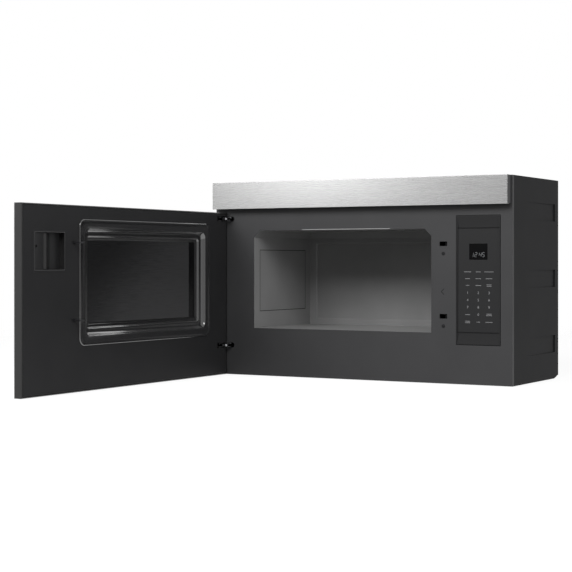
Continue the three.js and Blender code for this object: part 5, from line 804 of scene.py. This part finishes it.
seam_stops = [(inset * MM, door_face + height * MM, (SEAM_CORNER - inset) * MM)
              for inset, height in SEAM_PROFILE]
swept_ring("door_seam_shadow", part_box("door_frame"), seam_stops, shadow_black)

# ---------------------------------------------------------------- door facing and outer glass
# The door's face is a sheet of the same linished steel as the trim. A pane of smoked toughened
# glass lies flush in it over the window, dark and clear, with the faint waves of its tempering.
softened("door_facing", "door", stainless, edge_mm=0.3)
ROLLER_WAVE_MM = 120.0
smoked, tree, shader = new_material("smoked_toughened_glass", 0x2A2A2C, 0.03)
shader.inputs["Transmission Weight"].default_value = 0.85
shader.inputs["IOR"].default_value = 1.52
place = add_node(tree, "TexCoord")
ripple = add_node(tree, "TexNoise", Vector=place.outputs["Object"],
                  Scale=1 / (ROLLER_WAVE_MM * MM), Detail=0.0)
bump = add_node(tree, "Bump", Strength=0.03, Distance=0.5 * MM, Height=ripple.outputs["Fac"])
tree.links.new(bump.outputs["Normal"], shader.inputs["Normal"])
softened("door_glass", "door", smoked, edge_mm=0.3)

# ---------------------------------------------------------------- choke cover
# A gloss black moulded ring hides the microwave choke round the window. It has a beaded rim, a
# flat band and two rounded steps down to the window, and its polished tool gives it a wet shine.
RIM_RADIUS = 16 * MM
BAND_END = 19.3
CORNER_LOSS = 0.55  # how fast the corners tighten inside the band
# Each stop is how far in from the rim, and how high over the liner, in millimetres.
COVER_PROFILE = [
    (0.0, 0.3), (0.0, 0.9), (0.6, 1.7), (1.5, 2.0), (2.4, 1.85), (3.1, 1.45), (3.8, 1.2),
    (9.0, 1.1), (15.0, 1.0), (17.6, 1.3), (18.6, 1.35), (19.3, 1.0), (19.9, 0.2), (20.8, -1.3),
    (22.6, -3.6), (24.4, -5.4), (26.0, -6.6), (27.4, -7.15), (30.0, -7.3), (33.3, -7.4),
    (34.3, -7.7), (35.0, -8.4), (36.3, -10.2), (37.2, -11.0), (38.3, -11.3), (42.6, -11.4),
    (43.6, -12.0), (37.0, -12.0), (33.2, -9.0), (26.6, -8.8), (18.6, -0.5), (4.8, -0.3),
    (4.8, -7.0), (3.4, -7.0), (3.4, 0.3)]
gloss_black, tree, shader = new_material("polished_black_pbt", 0x222223, 0.16)
shader.inputs["Specular IOR Level"].default_value = 1.0
shader.inputs["Coat Weight"].default_value = 1.0
shader.inputs["Coat Roughness"].default_value = 0.1
shader.inputs["Coat IOR"].default_value = 1.7
flow = uneven_polish(tree, shader, 35.0, 0.15, 0.2)
bump = add_node(tree, "Bump", Strength=0.02, Distance=0.3 * MM, Height=flow.outputs["Fac"])
tree.links.new(bump.outputs["Normal"], shader.inputs["Normal"])
cover_stops = []
for inset, height in COVER_PROFILE:
    tightened = CORNER_LOSS * max(0.0, inset - BAND_END)
    cover_stops.append((inset * MM, door_face + height * MM, RIM_RADIUS - tightened * MM))
cover = swept_ring("choke_cover_made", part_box("choke_cover"), cover_stops, gloss_black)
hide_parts("choke_cover")

# ---------------------------------------------------------------- window film and screen
# A glossy film lies over a black sheet etched full of small holes, which keeps the microwaves in.
# Near its edge the sheet is drawn solid black. Elsewhere it shows as a fine grid, and the room's
# light seen through its holes is painted into its colour, with faint streaks where its rows
# shimmer. The holes are drawn coarser than they are, so that they show.
HOLE_PITCH_MM = 2.4
HOLE_EDGE = (0.34, 0.46)  # in shares of the pitch, from inside a hole to outside it
HOLE_LIGHT = 0.25
STREAK_MM = (45.0, 2.6)  # along and across the rows of holes
STREAK_CONTRAST, STREAK_LEAST = 0.9, 0.55
FIELD_INSET = {"hinge": 51 * MM, "free": 27 * MM, "top": 25 * MM, "bottom": 29 * MM}
THROUGH_LIGHT_DIRECTION = (0.0, 0.6, -0.8)  # the painted light through the holes is brightest at the lower corner by the hinges
THROUGH_LIGHT_REACH = (-0.52, -0.28)
THROUGH_LIGHT_LEVELS = (0.19, 0.98)
film_low, film_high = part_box("window_film")
screen_film, tree, shader = new_material("film_over_etched_screen", 0x1C1C1D, 0.1)
place = add_node(tree, "TexCoord")
apart = add_node(tree, "SeparateXYZ", Vector=place.outputs["Object"])
inside = None
for axis, low, high in (
        ("Y", film_low.y + FIELD_INSET["free"], film_high.y - FIELD_INSET["hinge"]),
        ("Z", film_low.z + FIELD_INSET["bottom"], film_high.z - FIELD_INSET["top"])):
    for edge, operation in ((low, "GREATER_THAN"), (high, "LESS_THAN")):
        test = add_node(tree, "Math", {"operation": operation}, _0=apart.outputs[axis], _1=edge)
        inside = test if inside is None else add_node(
            tree, "Math", {"operation": "MULTIPLY"}, _0=inside.outputs[0], _1=test.outputs[0])
grid = add_node(tree, "TexVoronoi", Vector=place.outputs["Object"],
                Scale=1 / (HOLE_PITCH_MM * MM), Randomness=0.0)
hole = add_node(tree, "MapRange", Value=grid.outputs["Distance"], From_Min=HOLE_EDGE[0],
                From_Max=HOLE_EDGE[1], To_Min=1.0, To_Max=0.0)
etched = add_node(tree, "Math", {"operation": "MULTIPLY"}, _0=hole.outputs["Result"],
                  _1=inside.outputs[0])
slope = add_node(tree, "VectorMath", {"operation": "DOT_PRODUCT"}, _0=place.outputs["Object"],
                 _1=THROUGH_LIGHT_DIRECTION)
painted_through_light = add_node(tree, "MapRange", {"interpolation_type": "SMOOTHSTEP"},
                Value=slope.outputs["Value"], From_Min=THROUGH_LIGHT_REACH[0], From_Max=THROUGH_LIGHT_REACH[1],
                To_Min=THROUGH_LIGHT_LEVELS[0], To_Max=THROUGH_LIGHT_LEVELS[1])
# Painted light: the room's light through the holes, only inside the black edge.
shade = add_node(tree, "Math", {"operation": "MULTIPLY"}, _0=inside.outputs[0],
                 _1=painted_through_light.outputs["Result"])
rows = add_node(tree, "Mapping", Vector=place.outputs["Object"],
                Scale=(0.0, 1 / (STREAK_MM[0] * MM), 1 / (STREAK_MM[1] * MM)))
streaks = add_node(tree, "TexNoise", Vector=rows.outputs["Vector"], Scale=1.0, Detail=2.0)
streaked = add_node(tree, "Math", {"operation": "MULTIPLY_ADD"}, _0=streaks.outputs["Fac"],
                    _1=STREAK_CONTRAST, _2=STREAK_LEAST)
shade = add_node(tree, "Math", {"operation": "MULTIPLY"}, _0=shade.outputs[0],
                 _1=streaked.outputs[0])
level = add_node(tree, "Math", {"operation": "MULTIPLY_ADD"}, _0=etched.outputs[0],
                 _1=HOLE_LIGHT, _2=shade.outputs[0])
tone = add_node(tree, "ValToRGB", stops=((0.0, 0x0A0A0B), (1.0, 0x3E3E3F)),
                Fac=level.outputs[0])
tree.links.new(tone.outputs["Color"], shader.inputs["Base Color"])
softened("window_film", "door", screen_film, edge_mm=0.1)
dress("window_screen", black_powder)

# ---------------------------------------------------------------- handle cup
# The finger pocket is a thin ABS cup let into the door's free edge. The oven side shows its back,
# low behind the mouth and rising in a soft roll to the edge. It comes from a smoother tool than
# the door's body and shines more.
CUP_WALL = 1.6 * MM
RIM_PROUD, RIM_CORNER, RIM_EASE, RIM_FOOT = 1.2 * MM, 2 * MM, 0.4 * MM, 0.2 * MM
cup_plastic = moulded("black_moulded_abs_cup", 0x222223, 0x252526, 0.3, gloss=0.7)
softened("handle_cup", "door", cup_plastic, edge_mm=0.5, segments=3)
cup_low, cup_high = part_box("handle_cup")

# The pocket's floor rises to a lip at its hinge side. Each point of the lip is how far in from the
# other side, and how high over the liner, in millimetres.
CUP_LIP = [(29.4, -2.6), (37.4, -0.4), (38.0, -0.5), (38.4, -1.0), (38.4, -3.4), (29.4, -3.4)]
lip_ends = [[(door_face + height * MM, cup_low.y + along * MM, z) for along, height in CUP_LIP]
            for z in (cup_high.z - CUP_WALL, cup_low.z + CUP_WALL)]
prisms("handle_cup_lip", [lip_ends], door_plastic, "door")

# A low rim runs round the pocket and covers the edge of its hole in the liner.
rim_outset = Vector((0, 1, 1)) * CUP_WALL
rim_profile = [(0.0, RIM_FOOT), (0.0, RIM_PROUD - RIM_EASE), (RIM_EASE, RIM_PROUD),
               (CUP_WALL - RIM_EASE, RIM_PROUD), (CUP_WALL, RIM_PROUD - RIM_EASE),
               (CUP_WALL, RIM_FOOT)]
rim_stops = [(inset, door_face + height, RIM_CORNER) for inset, height in rim_profile]
swept_ring("handle_cup_rim", (cup_low - rim_outset, cup_high + rim_outset), rim_stops, cup_plastic)

# A single screw, sunk in a hole in the cup's shallow part, holds the cup to the door frame. The
# shade in the hole is painted as a black disc over the screw.
SCREW_PLACE = Vector((0, -1000.0, 72.5)) * MM
SCREW_RADIUS = 2.8 * MM
SCREW_SUNK = 2.18
SCREW_PROFILE = [(0.0, 0.0), (0.25, 0.3), (1.2, 0.3), (1.6, 0.1), (2.7, 0.1), (2.7, 0.0)]
screw_reach = Vector((0, 1, 1)) * SCREW_RADIUS
screw_stops = [(inset * MM, door_face + (height - SCREW_SUNK) * MM, SCREW_RADIUS - inset * MM)
               for inset, height in SCREW_PROFILE]
swept_ring("cup_screw_hole_shadow", (SCREW_PLACE - screw_reach, SCREW_PLACE + screw_reach), screw_stops,
           shadow_black)

# ---------------------------------------------------------------- latch bar and spring
# Both hooks and their bar are one moulding of slippery black acetal, which swings on a trunnion.
# A torsion spring of bright wire pulls it back once the barbs have passed their keepers.
black_acetal = moulded("black_moulded_acetal", 0x262628, 0x2B2B2D, 0.3)
softened("latch_bar", "latch", black_acetal, edge_mm=0.3)
dress("latch_spring", ground_steel)
